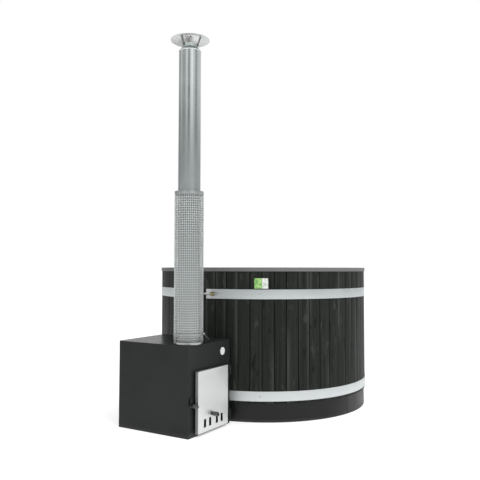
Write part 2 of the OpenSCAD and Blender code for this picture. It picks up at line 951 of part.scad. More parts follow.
module base_pan() {
    color("#242625") {
        linear_extrude(case_t) {
            case_outline(0, case_corner_r);
            translate([case_x1 - case_t, case_y0]) square([case_t, case_w]);
        }
        for (x = [jacket_x0 + foot_l, jacket_x1 - 2 * foot_l])
            for (y = [jacket_y0 + foot_l, jacket_y1 - 2 * foot_l])
                span([x, y, case_t], [x + foot_l, y + foot_l, case_t + foot_h]);
    }
}

// Water jacket: an outer tank open towards the door, closed by the firebox's front flange
module water_jacket() {
    color("#9da0a0")
        difference() {
            span([jacket_x0, jacket_y0, jacket_z0], [jacket_x1 - firebox_t, jacket_y1, jacket_z1]);
            span([jacket_x0 + jacket_t, jacket_y0 + jacket_t, jacket_z0 + jacket_t],
                 [jacket_x1 + cut, jacket_y1 - jacket_t, jacket_z1 - jacket_t]);
            port_holes(port_r - port_wall, jacket_y1 - jacket_t - cut, jacket_y1 + cut);
            translate([flue_x, flue_y, jacket_z1 - jacket_t - cut])
                cylinder(r = flue_r - flue_wall, h = jacket_t + 2 * cut);
        }
}

module firebox() {
    spigot_r = flue_r - flue_wall - fit;
    ledge_z = grate_z - grate_t - ledge_t;
    color("#5c5e5d")
        difference() {
            union() {
                span([fire_x0, fire_y0, fire_z0], [jacket_x1, fire_y1, fire_z1]);
                span([jacket_x1 - firebox_t, jacket_y0, jacket_z0], [jacket_x1, jacket_y1, jacket_z1]);
                translate([flue_x, flue_y, fire_z1 - firebox_t])
                    cylinder(r = spigot_r, h = case_h + spigot_up - fire_z1 + firebox_t);
            }
            difference() {
                span([fire_x0 + firebox_t, fire_y0 + firebox_t, fire_z0 + firebox_t],
                     [jacket_x1 + cut, fire_y1 - firebox_t, fire_z1 - firebox_t]);
                for (y = [fire_y0 + firebox_t, fire_y1 - firebox_t - ledge_w])
                    span([fire_x0, y, ledge_z], [jacket_x1, y + ledge_w, ledge_z + ledge_t]);
            }
            translate([flue_x, flue_y, fire_z1 - firebox_t - cut])
                cylinder(r = spigot_r - firebox_t, h = case_h + spigot_up);
        }
}

module fire_grate() {
    y0 = fire_y0 + firebox_t + grate_margin;
    y1 = fire_y1 - firebox_t - grate_margin;
    x0 = fire_x0 + firebox_t + grate_margin;
    x1 = jacket_x1 - firebox_t - grate_margin;
    slots = floor((x1 - x0 - grate_bar) / (grate_bar + grate_slot));
    first = x0 + (x1 - x0 - slots * (grate_bar + grate_slot) + grate_bar) / 2;
    color("#2a2a2a")
        difference() {
            span([x0, y0, grate_z - grate_t], [x1, y1, grate_z]);
            for (i = [0 : slots - 1])
                span([first + i * (grate_bar + grate_slot), y0 + 2 * ledge_w, grate_z - grate_t - cut],
                     [first + i * (grate_bar + grate_slot) + grate_slot, y1 - 2 * ledge_w, grate_z + cut]);
        }
}

module ash_pan() {
    y0 = mouth_y0 + ash_gap;
    y1 = mouth_y1 - ash_gap;
    x0 = fire_x0 + firebox_t + ash_gap;
    x1 = jacket_x1 - ash_gap;
    z0 = fire_z0 + firebox_t;
    mid = (y0 + y1) / 2;
    color("#77797a")
        difference() {
            union() {
                span([x0, y0, z0], [x1, y1, z0 + ash_h]);
                span([x1, mid - ash_pull_w / 2, z0 + ash_h / 2],
                     [x1 + ash_gap / 2, mid + ash_pull_w / 2, z0 + ash_h / 2 + ash_pull_t]);
            }
            span([x0 + pan_wall, y0 + pan_wall, z0 + pan_wall],
                 [x1 - pan_wall, y1 - pan_wall, z0 + ash_h + cut]);
        }
}

module fire_baffle() {
    z = fire_z0 + (fire_z1 - fire_z0) * baffle_z_share;
    x0 = jacket_x1 - (jacket_x1 - fire_x0) * baffle_share;
    color("#6b5f52")
        span([x0, fire_y0 + firebox_t + fit, z],
             [jacket_x1 - baffle_gap, fire_y1 - firebox_t - fit, z + baffle_t]);
}

// Water pipes: welded to the jacket, through the tub's wall, with a flange and a screen inside
module water_pipes() {
    end_y = -sqrt(pow(water_r, 2) - pow(port_x, 2)) + port_inner_l;
    color("#b4b6b6")
        difference() {
            port_holes(port_r, jacket_y1, end_y);
            port_holes(port_r - port_wall, jacket_y1 - cut, end_y + cut);
        }
}

module pipe_ring(outer, inner) {
    intersection() {
        difference() {
            port_holes(flange_r, -liner_r, -water_r + port_inner_l);
            port_holes(port_r + fit, -liner_r - cut, 0);
        }
        ring(outer, inner, tub_h, $fn = 720);
    }
}

module pipe_gaskets() {
    color("#1b1b1b") pipe_ring(water_r - fit, water_r - fit - gasket_t);
}

module pipe_flanges() {
    color("#b4b6b6") pipe_ring(water_r - 2 * fit - gasket_t, water_r - 2 * fit - gasket_t - flange_t);
}

module pipe_screens() {
    end_y = -sqrt(pow(water_r, 2) - pow(port_x, 2)) + port_inner_l;
    color("#c3c5c5")
        for (z = [low_port_z, high_port_z])
            translate([port_x, end_y, z])
                difference() {
                    rod_y(port_r, screen_t);
                    translate([0, -cut, 0]) rod_y(screen_hole_r, screen_t + 2 * cut);
                    for (i = [0 : screen_holes - 1])
                        rotate([0, i * 360 / screen_holes, 0])
                            translate([screen_ring_r, -cut, 0]) rod_y(screen_hole_r, screen_t + 2 * cut);
                }
}

module casing_plug() {
    color("#eceded")
        translate([case_x1, case_y0 + plug_from_corner, plug_z])
            difference() {
                union() {
                    rod_x(plug_r, plug_t);
                    translate([-plug_shank_l, 0, 0]) rod_x(plug_shank_r, plug_shank_l);
                }
                span([plug_t - plug_slot_d, -plug_slot_w / 2, -plug_slot_l / 2],
                     [plug_t + cut, plug_slot_w / 2, plug_slot_l / 2]);
            }
}

// Chimney
module at_flue(z) {
    translate([flue_x, flue_y, z]) children();
}

module flue_collar() {
    color("#8f9292") at_flue(case_h) ring(flue_r + collar_w, flue_r - flue_wall, collar_t);
}

module lower_flue() {
    z0 = case_h + collar_t;
    color("#c8caca") at_flue(z0) ring(flue_r, flue_r - flue_wall, flue_joint_z - z0);
}

module upper_flue() {
    in_r = flue_r - flue_wall;
    color("#c8caca")
        at_flue(0)
            rotate_extrude() {
                translate([in_r, flue_joint_z]) square([flue_wall, flue_top_z - flue_joint_z]);
                translate([in_r - fit - flue_wall, flue_joint_z - coupler_l])
                    square([flue_wall, coupler_l + coupler_l / 2]);
                translate([in_r - fit - flue_wall, flue_joint_z])
                    square([fit + 2 * flue_wall, coupler_l / 2]);
                translate([flue_r, flue_top_z - bead_r]) circle(r = bead_r, $fn = 24);
            }
}

// Heat guard: rings of square wire welded outside upright wires, between a foot band and a top band
module guard_rings() {
    color("#b9bcbc")
        at_flue(ring_start_z - guard_wire / 2)
            for (i = [0 : guard_rows - 1])
                translate([0, 0, i * guard_pitch]) ring(guard_r, guard_r - guard_wire, guard_wire);
}

module guard_wires_upright() {
    color("#b9bcbc")
        at_flue(guard_z0)
            for (i = [0 : guard_wires - 1])
                rotate([0, 0, i * 360 / guard_wires])
                    translate([rod_ring_r, 0, 0])
                        cylinder(d = guard_wire, h = guard_top_z - guard_z0, $fn = 16);
}

module guard_bands() {
    in_r = rod_ring_r + guard_wire / 2 + run_fit;
    color("#c2c5c5") {
        at_flue(guard_z0) ring(in_r + guard_band_t, in_r, guard_foot_h);
        at_flue(guard_top_z - guard_band_h) ring(in_r + guard_band_t, in_r, guard_band_h);
    }
}

module guard_standoffs() {
    reach = rod_ring_r - guard_wire / 2 - flue_r - 2 * fit;
    color("#a4a7a7")
        for (z = [guard_z0 + guard_foot_h / 2, guard_top_z - guard_band_h / 2], i = [0 : standoffs - 1])
            at_flue(z)
                rotate([0, 0, i * 360 / standoffs])
                    intersection() {
                        translate([flue_r - standoff_r, 0, 0]) rod_x(standoff_r, reach + 2 * standoff_r);
                        translate([0, 0, -standoff_r])
                            ring(flue_r + fit + reach, flue_r + fit, 2 * standoff_r);
                    }
}

module guard_clamp() {
    in_r = guard_r + fit;
    lean = atan(clamp_tail_drop / clamp_tail_l);
    color("#8d9090")
        at_flue(clamp_z)
            rotate([0, 0, clamp_az]) {
                ring(in_r + clamp_t, in_r, clamp_h);
                translate([in_r + clamp_screw_r, -clamp_screw_l / 2, clamp_h / 2])
                    rod_y(clamp_screw_r, clamp_screw_l);
                translate([in_r + clamp_t / 2, 0, clamp_h / 2])
                    rotate([0, lean, 0])
                        translate([0, -clamp_h / 2, 0])
                            cube([clamp_tail_l, clamp_h, clamp_t]);
            }
}

module hat_collar() {
    foot = flue_top_z;
    color("#c0c2c2")
        at_flue(0)
            rotate_extrude()
                polygon([
                    [flue_r, foot],
                    [spout_r, foot + shoulder_h],
                    [spout_r, foot + shoulder_h + spout_h],
                    [spout_r - flue_wall, foot + shoulder_h + spout_h],
                    [spout_r - flue_wall, foot + shoulder_h],
                    [flue_r - flue_wall, foot]
                ]);
}

// Height of the hat's underside at a distance from its axis
function hat_under(r) = hat_z + hat_rise * (hat_r - r) / hat_r;

module hat_legs() {
    r0 = spout_r + fit;
    r1 = r0 + leg_foot_h;
    r2 = r1 + 2 * leg_strap_t;
    foot = flue_top_z + shoulder_h + spout_h - leg_foot_h;
    color("#8f9292")
        for (i = [0 : hat_leg_count - 1])
            at_flue(0)
                rotate([0, 0, leg_az + i * 360 / hat_leg_count])
                    translate([0, leg_strap_w / 2, 0])
                        rotate([90, 0, 0])
                            linear_extrude(leg_strap_w)
                                polygon([
                                    [r0, foot],
                                    [r0 + leg_strap_t, foot],
                                    [r0 + leg_strap_t, foot + leg_foot_h],
                                    [r2, hat_under(r2) - fit],
                                    [r1, hat_under(r1) - fit],
                                    [r0, foot + leg_foot_h]
                                ]);
}

module rain_hat() {
    color("#c8caca")
        at_flue(0)
            rotate_extrude() {
                polygon([
                    [0, hat_z + hat_rise],
                    [hat_r, hat_z],
                    [hat_r, hat_z + hat_t],
                    [0, hat_z + hat_rise + hat_t]
                ]);
                translate([hat_r, hat_z + hat_t / 2]) circle(r = bead_r, $fn = 24);
            }
}

// Hinges: the lower half and its pin on the casing, the upper half on the door
module hinge_seats() {
    color("#2c2e2d")
        for (z = [low_hinge_z, high_hinge_z]) {
            translate([hinge_x, hinge_y, z]) cylinder(r = barrel_r, h = barrel_h);
            translate([hinge_x, hinge_y, z]) cylinder(r = hinge_pin_r, h = 2 * barrel_h + 2 * hinge_seam);
            span([case_x1, hinge_y - hinge_leaf_t / 2, z],
                 [hinge_x, hinge_y + hinge_leaf_t / 2, z + barrel_h]);
        }
}

module door_hinges() {
    color("#2c2e2d")
        for (z = [low_hinge_z, high_hinge_z])
            difference() {
                z0 = z + barrel_h + hinge_seam;
                union() {
                    translate([hinge_x, hinge_y, z0]) cylinder(r = barrel_r, h = barrel_h);
                    span([hinge_x - hinge_leaf_t / 2, door_y1, z0],
                         [hinge_x + hinge_leaf_t / 2, hinge_y, z0 + barrel_h]);
                }
                translate([hinge_x, hinge_y, z0 - cut])
                    cylinder(r = hinge_pin_r + run_fit, h = barrel_h + 2 * cut);
            }
}

// Door: a folded tray with air slots, a back plate that holds the rope seal, and the air slider
module air_slots(x0, t) {
    for (side = [-1, 1], off = [slot_in, slot_out])
        translate([x0, 0, 0])
            rounded_plate([door_mid_y + side * off - slot_w / 2, slot_z - slot_h / 2],
                          [door_mid_y + side * off + slot_w / 2, slot_z + slot_h / 2], slot_corner_r, t);
}

module door_tray() {
    low = [door_y0, door_z];
    high = [door_y1, door_z + door_h];
    lip = [door_t, door_t];
    color("#d2d4d3")
        difference() {
            translate([door_x0, 0, 0]) rounded_plate(low, high, door_corner_r, door_depth);
            translate([door_x0 - cut, 0, 0])
                rounded_plate(low + lip, high - lip, door_corner_r - door_t, door_depth - door_t + cut);
            air_slots(door_x1 - door_t - cut, door_t + 2 * cut);
            translate([door_x1 - door_t - cut, door_mid_y, slider_grip_z])
                rotate([90, 0, 0])
                    slot_x(2 * (stem_r + stem_slot_gap), slider_travel + 2 * (stem_r + stem_slot_gap),
                           door_t + 2 * cut);
        }
}

module door_back() {
    low = [door_y0 + door_t + fit, door_z + door_t + fit];
    high = [door_y1 - door_t - fit, door_z + door_h - door_t - fit];
    x0 = door_x0 + door_back_in;
    channel_x = x0 - rope_r;
    rope_lo = [mouth_y0 - rope_in - 2 * rope_r - fit, mouth_z - rope_in - 2 * rope_r - fit];
    rope_hi = [mouth_y1 + rope_in + 2 * rope_r + fit, mouth_z + mouth_h + rope_in + 2 * rope_r + fit];
    rim = door_t;
    color("#8a8c8c")
        difference() {
            union() {
                translate([x0, 0, 0]) rounded_plate(low, high, door_corner_r - door_t, door_back_t);
                difference() {
                    span([channel_x, rope_lo[0] - rim, rope_lo[1] - rim],
                         [x0, rope_hi[0] + rim, rope_hi[1] + rim]);
                    span([channel_x - cut, rope_lo[0], rope_lo[1]], [x0, rope_hi[0], rope_hi[1]]);
                }
            }
            span([x0 - cut, mouth_y0 + air_gap, mouth_z + air_gap],
                 [x0 + door_back_t + cut, mouth_y1 - air_gap, slider_z1]);
        }
}

// Rope seal: a round rope laid in a rectangle
module door_rope() {
    y0 = mouth_y0 - rope_in - rope_r;
    y1 = mouth_y1 + rope_in + rope_r;
    z0 = mouth_z - rope_in - rope_r;
    z1 = mouth_z + mouth_h + rope_in + rope_r;
    color("#3a3936")
        translate([door_x0 + door_back_in - fit - rope_r, 0, 0]) {
            for (z = [z0, z1]) translate([0, y0, z]) rod_y(rope_r, y1 - y0);
            for (y = [y0, y1]) translate([0, y, z0]) cylinder(r = rope_r, h = z1 - z0);
            for (y = [y0, y1], z = [z0, z1]) translate([0, y, z]) sphere(r = rope_r);
        }
}

module slider_rails() {
    x1 = door_x1 - door_t;
    back = x1 - slider_t - 2 * fit;
    y0 = door_y0 + door_t + fit;
    y1 = door_y1 - door_t - fit;
    color("#8a8c8c")
        for (side = [0, 1]) {
            edge = side == 0 ? slider_z0 - fit : slider_z1 + fit;
            low = side == 0 ? edge - rail_h : edge;
            lip = side == 0 ? edge - rail_h : edge - rail_lip;
            if (side == 0) {
                span([back, y0, low], [x1, y1, low + rail_h]);
                span([back - slider_t, y0, lip], [back, y1, lip + rail_h + rail_lip]);
            } else {
                for (end = [0, 1]) {
                    from = end == 0 ? y0 : door_mid_y + slider_travel / 2 + slider_lap + stem_r;
                    to = end == 0 ? door_mid_y - slider_travel / 2 - slider_lap - stem_r : y1;
                    span([back, from, low], [x1, to, low + rail_h]);
                    span([back - slider_t, from, lip], [back, to, lip + rail_h + rail_lip]);
                }
            }
        }
}

module air_slider() {
    x1 = door_x1 - door_t - fit;
    tip_x = door_x1 + fit + washer_t + fit;
    color("#9a9c9c") {
        difference() {
            union() {
                span([x1 - slider_t, door_mid_y - slider_left, slider_z0],
                     [x1, door_mid_y + slider_right, slider_z1]);
                span([x1 - slider_t, slider_y - slider_lap, slider_z1 - slot_gap],
                     [x1, slider_y + slider_lap, slider_grip_z + slider_lap]);
            }
            air_slots(x1 - slider_t - cut, slider_t + 2 * cut);
        }
        translate([x1 - slider_t, slider_y, slider_grip_z]) {
            rod_x(stem_r, tip_x - x1 + slider_t);
            translate([door_x1 + fit - x1 + slider_t, 0, 0]) {
                rod_x(washer_r, washer_t);
                rod_x(hub_r, washer_t + hub_l);
                rod_x(core_r, washer_t + grip_pitch * slider_turns);
            }
        }
    }
}

// A wound wire grip along X: rings of points on a helix, closed at both ends
function helix_centre(s) =
    let (a = 360 * s, r = grip_r - grip_wire / 2) [s * grip_pitch, r * cos(a), r * sin(a)];

function helix_ring(s) =
    let (a = 360 * s,
         r = grip_r - grip_wire / 2,
         rise = atan(grip_pitch / (2 * PI * r)),
         out = [0, cos(a), sin(a)],
         side = [cos(rise), sin(rise) * sin(a), -sin(rise) * cos(a)])
    [for (i = [0 : wire_sides - 1])
        let (b = 360 * i / wire_sides) helix_centre(s) + grip_wire / 2 * (cos(b) * out + sin(b) * side)];

module wound_grip(turns) {
    n = turns * steps_per_turn;
    m = wire_sides;
    points = [for (k = [0 : n]) each helix_ring(k / steps_per_turn)];
    walls = [for (k = [0 : n - 1], i = [0 : m - 1])
        let (a = k * m + i, b = k * m + (i + 1) % m)
        each [[a, b, b + m], [a, b + m, a + m]]];
    first = [[for (i = [0 : m - 1]) m - 1 - i]];
    last = [[for (i = [0 : m - 1]) n * m + i]];
    translate([grip_wire / 2, 0, 0]) polyhedron(points = points, faces = concat(walls, first, last));
}

echo(least_gap_between_turns = norm(helix_centre(1) - helix_centre(0)) * cos(atan(grip_pitch
     / (2 * PI * (grip_r - grip_wire / 2)))) - grip_wire);

module slider_grip() {
    color("#5d6060")
        translate([door_x1 + 2 * fit + washer_t, slider_y, slider_grip_z]) wound_grip(slider_turns);
}

// Latch: a bar on a pin behind the door's free edge; its nose lifts behind a hook on the casing
module latch_pin() {
    head_x = latch_x - pin_head_t - run_fit;
    color("#b0b2b2")
        translate([0, latch_y, latch_z]) {
            translate([head_x, 0, 0]) rod_x(latch_pin_r, door_x0 + door_back_in - head_x);
            translate([head_x, 0, 0]) rod_x(pin_head_r, pin_head_t);
            translate([latch_x + lever_bar_t + run_fit, 0, 0])
                rod_x(pin_head_r, door_x0 + door_back_in - latch_x - lever_bar_t - run_fit);
        }
}

module latch_lever() {
    hub_x = latch_x + lever_bar_t;
    grip_y = latch_y - latch_arm;
    color("#7b7e7e")
        difference() {
            union() {
                translate([latch_x, latch_y, latch_z]) rod_x(latch_boss_r, lever_bar_t);
                span([latch_x, latch_y - latch_reach, latch_z - latch_bar_w / 2],
                     [hub_x, latch_y, latch_z + latch_bar_w / 2]);
                translate([hub_x, grip_y, latch_z]) {
                    rod_x(hub_r, hub_l);
                    rod_x(core_r, grip_pitch * latch_turns);
                }
            }
            translate([latch_x - cut, latch_y, latch_z]) rod_x(latch_pin_r + run_fit, lever_bar_t + 2 * cut);
        }
}

module latch_grip() {
    color("#5d6060")
        translate([latch_x + lever_bar_t + fit, latch_y - latch_arm, latch_z]) wound_grip(latch_turns);
}

// The hook stands on the casing above the latch's nose and reaches over it once the latch is lifted
module latch_keeper() {
    y1 = latch_y - latch_arm - grip_r - keeper_side;
    z0 = latch_z + latch_bar_w / 2 + keeper_lift;
    z1 = z0 + keeper_h;
    hook_x = latch_x + lever_bar_t + keeper_air;
    color("#242625") {
        span([case_x1, y1 - keeper_w, z0],
             [case_x1 + keeper_t, door_y0 - 2 * keeper_side, z1 - keeper_roof]);
        span([case_x1, y1 - keeper_w, z1 - keeper_roof], [hook_x + keeper_t, y1, z1]);
        span([hook_x, y1 - keeper_w, z0], [hook_x + keeper_t, y1, z1]);
    }
}

floor_joists();
floor_board();
base_skirt();
floor_insulation();
wall_insulation();
tub_liner();
rim_cap();
staves();
upper_hoop();
lower_hoop();
hoop_lugs();
clamp_rods();
clamp_nuts();
hoop_screws();
bench_slats();
bench_bearers();
bench_legs();
bench_brackets();
drain_strainer();
drain_pipe();
valve_body();
valve_lever();
heater_casing();
front_panel();
top_plate();
base_pan();
water_jacket();
firebox();
fire_baffle();
fire_grate();
ash_pan();
water_pipes();
pipe_gaskets();
pipe_flanges();
pipe_screens();
casing_plug();
flue_collar();
lower_flue();
upper_flue();
guard_rings();
guard_wires_upright();
guard_bands();
guard_standoffs();
guard_clamp();
hat_collar();
hat_legs();
rain_hat();
hinge_seats();
door_hinges();
door_tray();
door_back();
door_rope();
slider_rails();
air_slider();
slider_grip();
latch_keeper();
latch_pin();
latch_lever();
latch_grip();
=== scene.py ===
import math

import bpy
import numpy as np
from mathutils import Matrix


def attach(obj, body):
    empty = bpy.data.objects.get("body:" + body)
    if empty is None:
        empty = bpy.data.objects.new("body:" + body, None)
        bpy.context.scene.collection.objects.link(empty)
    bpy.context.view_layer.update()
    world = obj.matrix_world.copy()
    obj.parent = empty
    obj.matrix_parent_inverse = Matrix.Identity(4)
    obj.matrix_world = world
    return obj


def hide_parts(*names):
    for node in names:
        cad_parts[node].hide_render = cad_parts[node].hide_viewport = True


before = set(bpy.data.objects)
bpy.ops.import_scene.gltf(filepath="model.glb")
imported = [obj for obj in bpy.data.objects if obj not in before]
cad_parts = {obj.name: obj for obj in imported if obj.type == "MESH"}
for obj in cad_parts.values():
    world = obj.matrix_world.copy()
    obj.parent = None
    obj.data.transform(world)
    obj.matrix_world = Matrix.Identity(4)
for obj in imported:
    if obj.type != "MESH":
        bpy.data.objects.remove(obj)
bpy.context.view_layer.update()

# Joists and floor board: pressure-treated softwood on edge under a disc of plywood, which carry the tub and keep
# its floor off the ground. Rigid foam fills the space over the board and behind the staves. Only the joists'
# ends and the board's rim could be seen, from below.


class Wire:
    """One socket of a finish. Arithmetic on it adds Math nodes, so a finish reads as a formula."""

    def __init__(self, finish, socket):
        self.finish = finish
        self.socket = socket

    def maths(self, operation, *others):
        return self.finish.maths(operation, self, *others)

    def __add__(self, other):
        return self.maths("ADD", other)

    def __sub__(self, other):
        return self.maths("SUBTRACT", other)

    def __rsub__(self, other):
        return self.finish.maths("SUBTRACT", other, self)

    def __mul__(self, other):
        return self.maths("MULTIPLY", other)

    def __truediv__(self, other):
        return self.maths("DIVIDE", other)

    __radd__ = __add__
    __rmul__ = __mul__


class Finish:
    """A material with one Principled shader. `shine` and the values in `plain` are the same all over."""

    def __init__(self, name, plain=None, shine=0.5):
        self.material = bpy.data.materials.new(name)
        self.material.use_nodes = True
        self.tree = self.material.node_tree
        self.tree.nodes.clear()
        self.shader = self.tree.nodes.new("ShaderNodeBsdfPrincipled")
        end = self.tree.nodes.new("ShaderNodeOutputMaterial")
        self.tree.links.new(self.shader.outputs[0], end.inputs[0])
        self.set({"Specular IOR Level": shine, **(plain or {})})

    def plug(self, socket, value):
        if isinstance(value, Wire):
            self.tree.links.new(value.socket, socket)
        elif socket.type == "RGBA":
            socket.default_value = (*value, 1.0)
        else:
            socket.default_value = value

    def set(self, values):
        for key, value in values.items():
            self.plug(self.shader.inputs[key], value)

    def node(self, kind, settings=None, inputs=None, out=0):
        """Adds a node: its settings first, then the values or wires of its sockets; returns one output."""
        node = self.tree.nodes.new(kind)
        for key, value in (settings or {}).items():
            if key == "stops":
                for place, _ in value[2:]:
                    node.color_ramp.elements.new(place)
                for stop, (place, shade) in zip(node.color_ramp.elements, value):
                    stop.position, stop.color = place, (shade, shade, shade, 1.0)
            else:
                setattr(node, key, value)
        for key, value in (inputs or {}).items():
            self.plug(node.inputs[key], value)
        return Wire(self, node.outputs[out])

    def maths(self, operation, *terms):
        return self.node("ShaderNodeMath", {"operation": operation}, dict(enumerate(terms)))

    def fed(self, key):
        """The wire that feeds one of the shader's sockets so far."""
        return Wire(self, self.shader.inputs[key].links[0].from_socket)

    def coords(self):
        return self.node("ShaderNodeTexCoord", out="Object")

    def split(self, vector):
        node = self.node("ShaderNodeSeparateXYZ", inputs={0: vector}).socket.node
        return [Wire(self, socket) for socket in node.outputs]

    def grain(self):
        """The three coordinates that skin() keeps with each point of a mesh."""
        return self.split(self.node("ShaderNodeAttribute", {"attribute_name": "grain"}, out="Vector"))

    def join(self, x, y, z):
        return self.node("ShaderNodeCombineXYZ", inputs={0: x, 1: y, 2: z})

    def noise(self, vector, scale=1.0, detail=2.0, rough=0.5, warp=0.0):
        inputs = {"Vector": vector, "Scale": scale, "Detail": detail, "Roughness": rough, "Distortion": warp}
        return self.node("ShaderNodeTexNoise", None, inputs)

    def band(self, value, low, high, to_low=0.0, to_high=1.0):
        """A smooth step of value from low to high."""
        settings = {"interpolation_type": "SMOOTHSTEP"}
        inputs = {0: value, 1: low, 2: high, 3: to_low, 4: to_high}
        return self.node("ShaderNodeMapRange", settings, inputs)

    def mix(self, share, first, second):
        return self.node("ShaderNodeMix", {"data_type": "RGBA"}, {0: share, 6: first, 7: second}, out=2)

    def relief(self, height, distance, strength=1.0, edge=0.0):
        """Fine relief for the Normal; edge is the radius that a sharp corner is seen to have."""
        inputs = {"Strength": strength, "Distance": distance, "Height": height}
        if edge:
            inputs["Normal"] = self.node("ShaderNodeBevel", {"samples": 6}, {"Radius": edge})
        return self.node("ShaderNodeBump", None, inputs)


def tint(red, green, blue):
    """A screen colour from 0 to 255, as the light values that shaders use: ((c + 0.055) / 1.055) ^ 2.4, or
    c / 12.92 where it is nearly black."""
    return tuple(((c / 255 + 0.055) / 1.055) ** 2.4 if c > 10 else c / 255 / 12.92 for c in (red, green, blue))


def timber(finish, across, along, piece, deep, pale, rough=0.55, knots=1.0, height=0.0004, edge=0.0, vary=0.45):
    """Softwood from three coordinates in metres: growth rings and fibres are noise stretched along the board,
    swayed sideways by slow noise, and knots are cells whose middles darken and bend the rings round them.
    vary says how much one board's tone differs from the next one's. Returns the colour."""
    rings_a_metre, fibres_a_metre, middle = 95, 950, 0.36 + vary / 2
    sway = finish.noise(finish.join(along * 1.4, piece * 3.7, across * 4), detail=1.0) - 0.5
    cell = finish.join(across * 8.5 + piece * 0.37, along * 2.3 + piece * 1.9, piece * 5.3)
    gap = finish.node("ShaderNodeTexVoronoi", {"feature": "F1"}, {"Vector": cell, "Scale": 1.0})
    knot = finish.band(gap, 0.20, 0.07) * knots
    run = across + sway * 0.03 + finish.band(gap, 0.42, 0.1) * 0.006
    rings = finish.noise(finish.join(run * rings_a_metre, along * 1.5, piece * 9.1), detail=3.0, rough=0.6)
    fibre = finish.noise(finish.join(run * fibres_a_metre, along * 13, piece * 5.3), detail=2.0, rough=0.7)
    board = finish.noise(finish.join(piece * 17.3, 0.5, 0.5), detail=0.0)
    share = finish.band(rings * 0.5 + fibre * 0.22 + board * vary, middle - 0.2, middle + 0.2)
    colour = finish.mix(knot * 0.75, finish.mix(share, deep, pale), tuple(0.45 * c for c in deep))
    finish.set({"Base Color": colour,
                "Roughness": finish.band(rings, 0.3, 0.75, rough + 0.1, rough - 0.08),
                "Normal": finish.relief(rings * 0.5 + fibre * 0.5 - knot * 0.2, height, 0.7, edge)})
    return colour


def dress(finish, *nodes):
    """Gives carried CAD nodes a finish."""
    for node in nodes:
        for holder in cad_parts[node].material_slots:
            holder.material = finish.material


joist_pitch = 0.28
treated = Finish("treated_softwood", shine=0.3)
x, y, z = treated.split(treated.coords())
joist = (x / joist_pitch).maths("ROUND")
timber(treated, x + z, y, joist, tint(112, 96, 66), tint(158, 140, 100), rough=0.75, edge=0.002)
dress(treated, "floor_joists")

plywood = Finish("plywood", shine=0.3)
x, y, z = plywood.split(plywood.coords())
timber(plywood, x, y * 0.5, z * 150, tint(120, 92, 58), tint(164, 134, 92), rough=0.7, edge=0.001)
dress(plywood, "floor_board")

foam = Finish("rigid_foam", {"Roughness": 0.95}, 0.2)
grit = foam.noise(foam.coords(), 260.0, 3.0)
foam.set({"Base Color": foam.mix(grit, tint(196, 188, 160), tint(226, 219, 196)),
          "Normal": foam.relief(grit, 0.001)})
dress(foam, "floor_insulation", "wall_insulation")

# Base skirt: four curved boards with a baked black face, butted with a hair of a joint; two of them are painted
# paler, as a sheen. They close the space between the ground and the staves, and their lower edge picks up dust.


def put(name, data):
    """A new object of the scene, round a mesh, a lamp or a camera."""
    thing = bpy.data.objects.new(name, data)
    bpy.context.scene.collection.objects.link(thing)
    return thing


def skin(name, *parts, crease=32.0):
    """One mesh of closed skins. A part is (points, ring) or (points, ring, grain): points[piece, along, round]
    has its last grid direction closed on itself; ring closes the other one too, or both ends get a flat cap.
    The signed volume, a third of the sum of place x area vector, says which way the faces have to turn."""
    places, faces, grains, start = [], [], [], 0
    for points, ring, *grain in parts:
        pieces, along, around, _ = points.shape
        index = np.arange(pieces * along * around).reshape(pieces, along, around)
        near = index if ring else index[:, :-1]
        far = np.roll(index, -1, 1) if ring else index[:, 1:]
        quads = np.stack([near, np.roll(near, -1, 2), np.roll(far, -1, 2), far], -1).reshape(-1, 4)
        caps = np.concatenate([index[:, 0, ::-1], index[:, -1]]) if not ring else np.zeros((0, around), int)
        fans = [np.stack([caps[:, 0], caps[:, i], caps[:, i + 1]], -1) for i in range(1, around - 1)]
        triangles = np.concatenate([quads[:, :3], quads[:, [0, 2, 3]]] + fans)
        flat = points.reshape(-1, 3)
        a, b, c = (flat[triangles[:, i]] for i in range(3))
        if np.einsum("ij,ij->", a, np.cross(b, c)) < 0:
            quads, caps = quads[:, ::-1], caps[:, ::-1]
        faces += (quads + start).tolist() + (caps + start).tolist()
        places.append(flat)
        grains.append(grain[0].reshape(-1, 3) if grain else np.zeros_like(flat))
        start += len(flat)
    mesh = bpy.data.meshes.new(name)
    mesh.from_pydata(np.concatenate(places), [], faces)
    mesh.polygons.foreach_set("use_smooth", np.ones(len(mesh.polygons), bool))
    mesh.set_sharp_from_angle(angle=math.radians(crease))
    kept = mesh.attributes.new("grain", "FLOAT_VECTOR", "POINT")
    kept.data.foreach_set("vector", np.concatenate(grains).ravel())
    mesh.update()
    return put(name, mesh)


def fit(piece, finish, slot, body, *nodes):
    """Gives a new piece its finish and its body, and says which CAD nodes it stands for. The slot is not used."""
    piece.data.materials.append(finish.material)
    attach(piece, body)
    if nodes:
        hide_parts(*nodes)


def eased(corners, radius, steps=4):
    """A closed outline with its corners eased: near corner C the curve is (1-t)^2 A + 2t(1-t) C + t^2 B,
    where A and B lie `radius` from C along the two edges. radius is one number, or one for each corner."""
    corners = np.asarray(corners, float)
    before, after = np.roll(corners, 1, 0) - corners, np.roll(corners, -1, 0) - corners
    sizes = np.broadcast_to(radius, len(corners))[:, None]
    first = corners + before * np.minimum(sizes / np.linalg.norm(before, axis=1, keepdims=True), 0.49)
    last = corners + after * np.minimum(sizes / np.linalg.norm(after, axis=1, keepdims=True), 0.49)
    t = np.linspace(0, 1, steps + 1)[None, :, None]
    curve = (1 - t) ** 2 * first[:, None] + 2 * t * (1 - t) * corners[:, None] + t ** 2 * last[:, None]
    return curve.reshape(-1, 2)


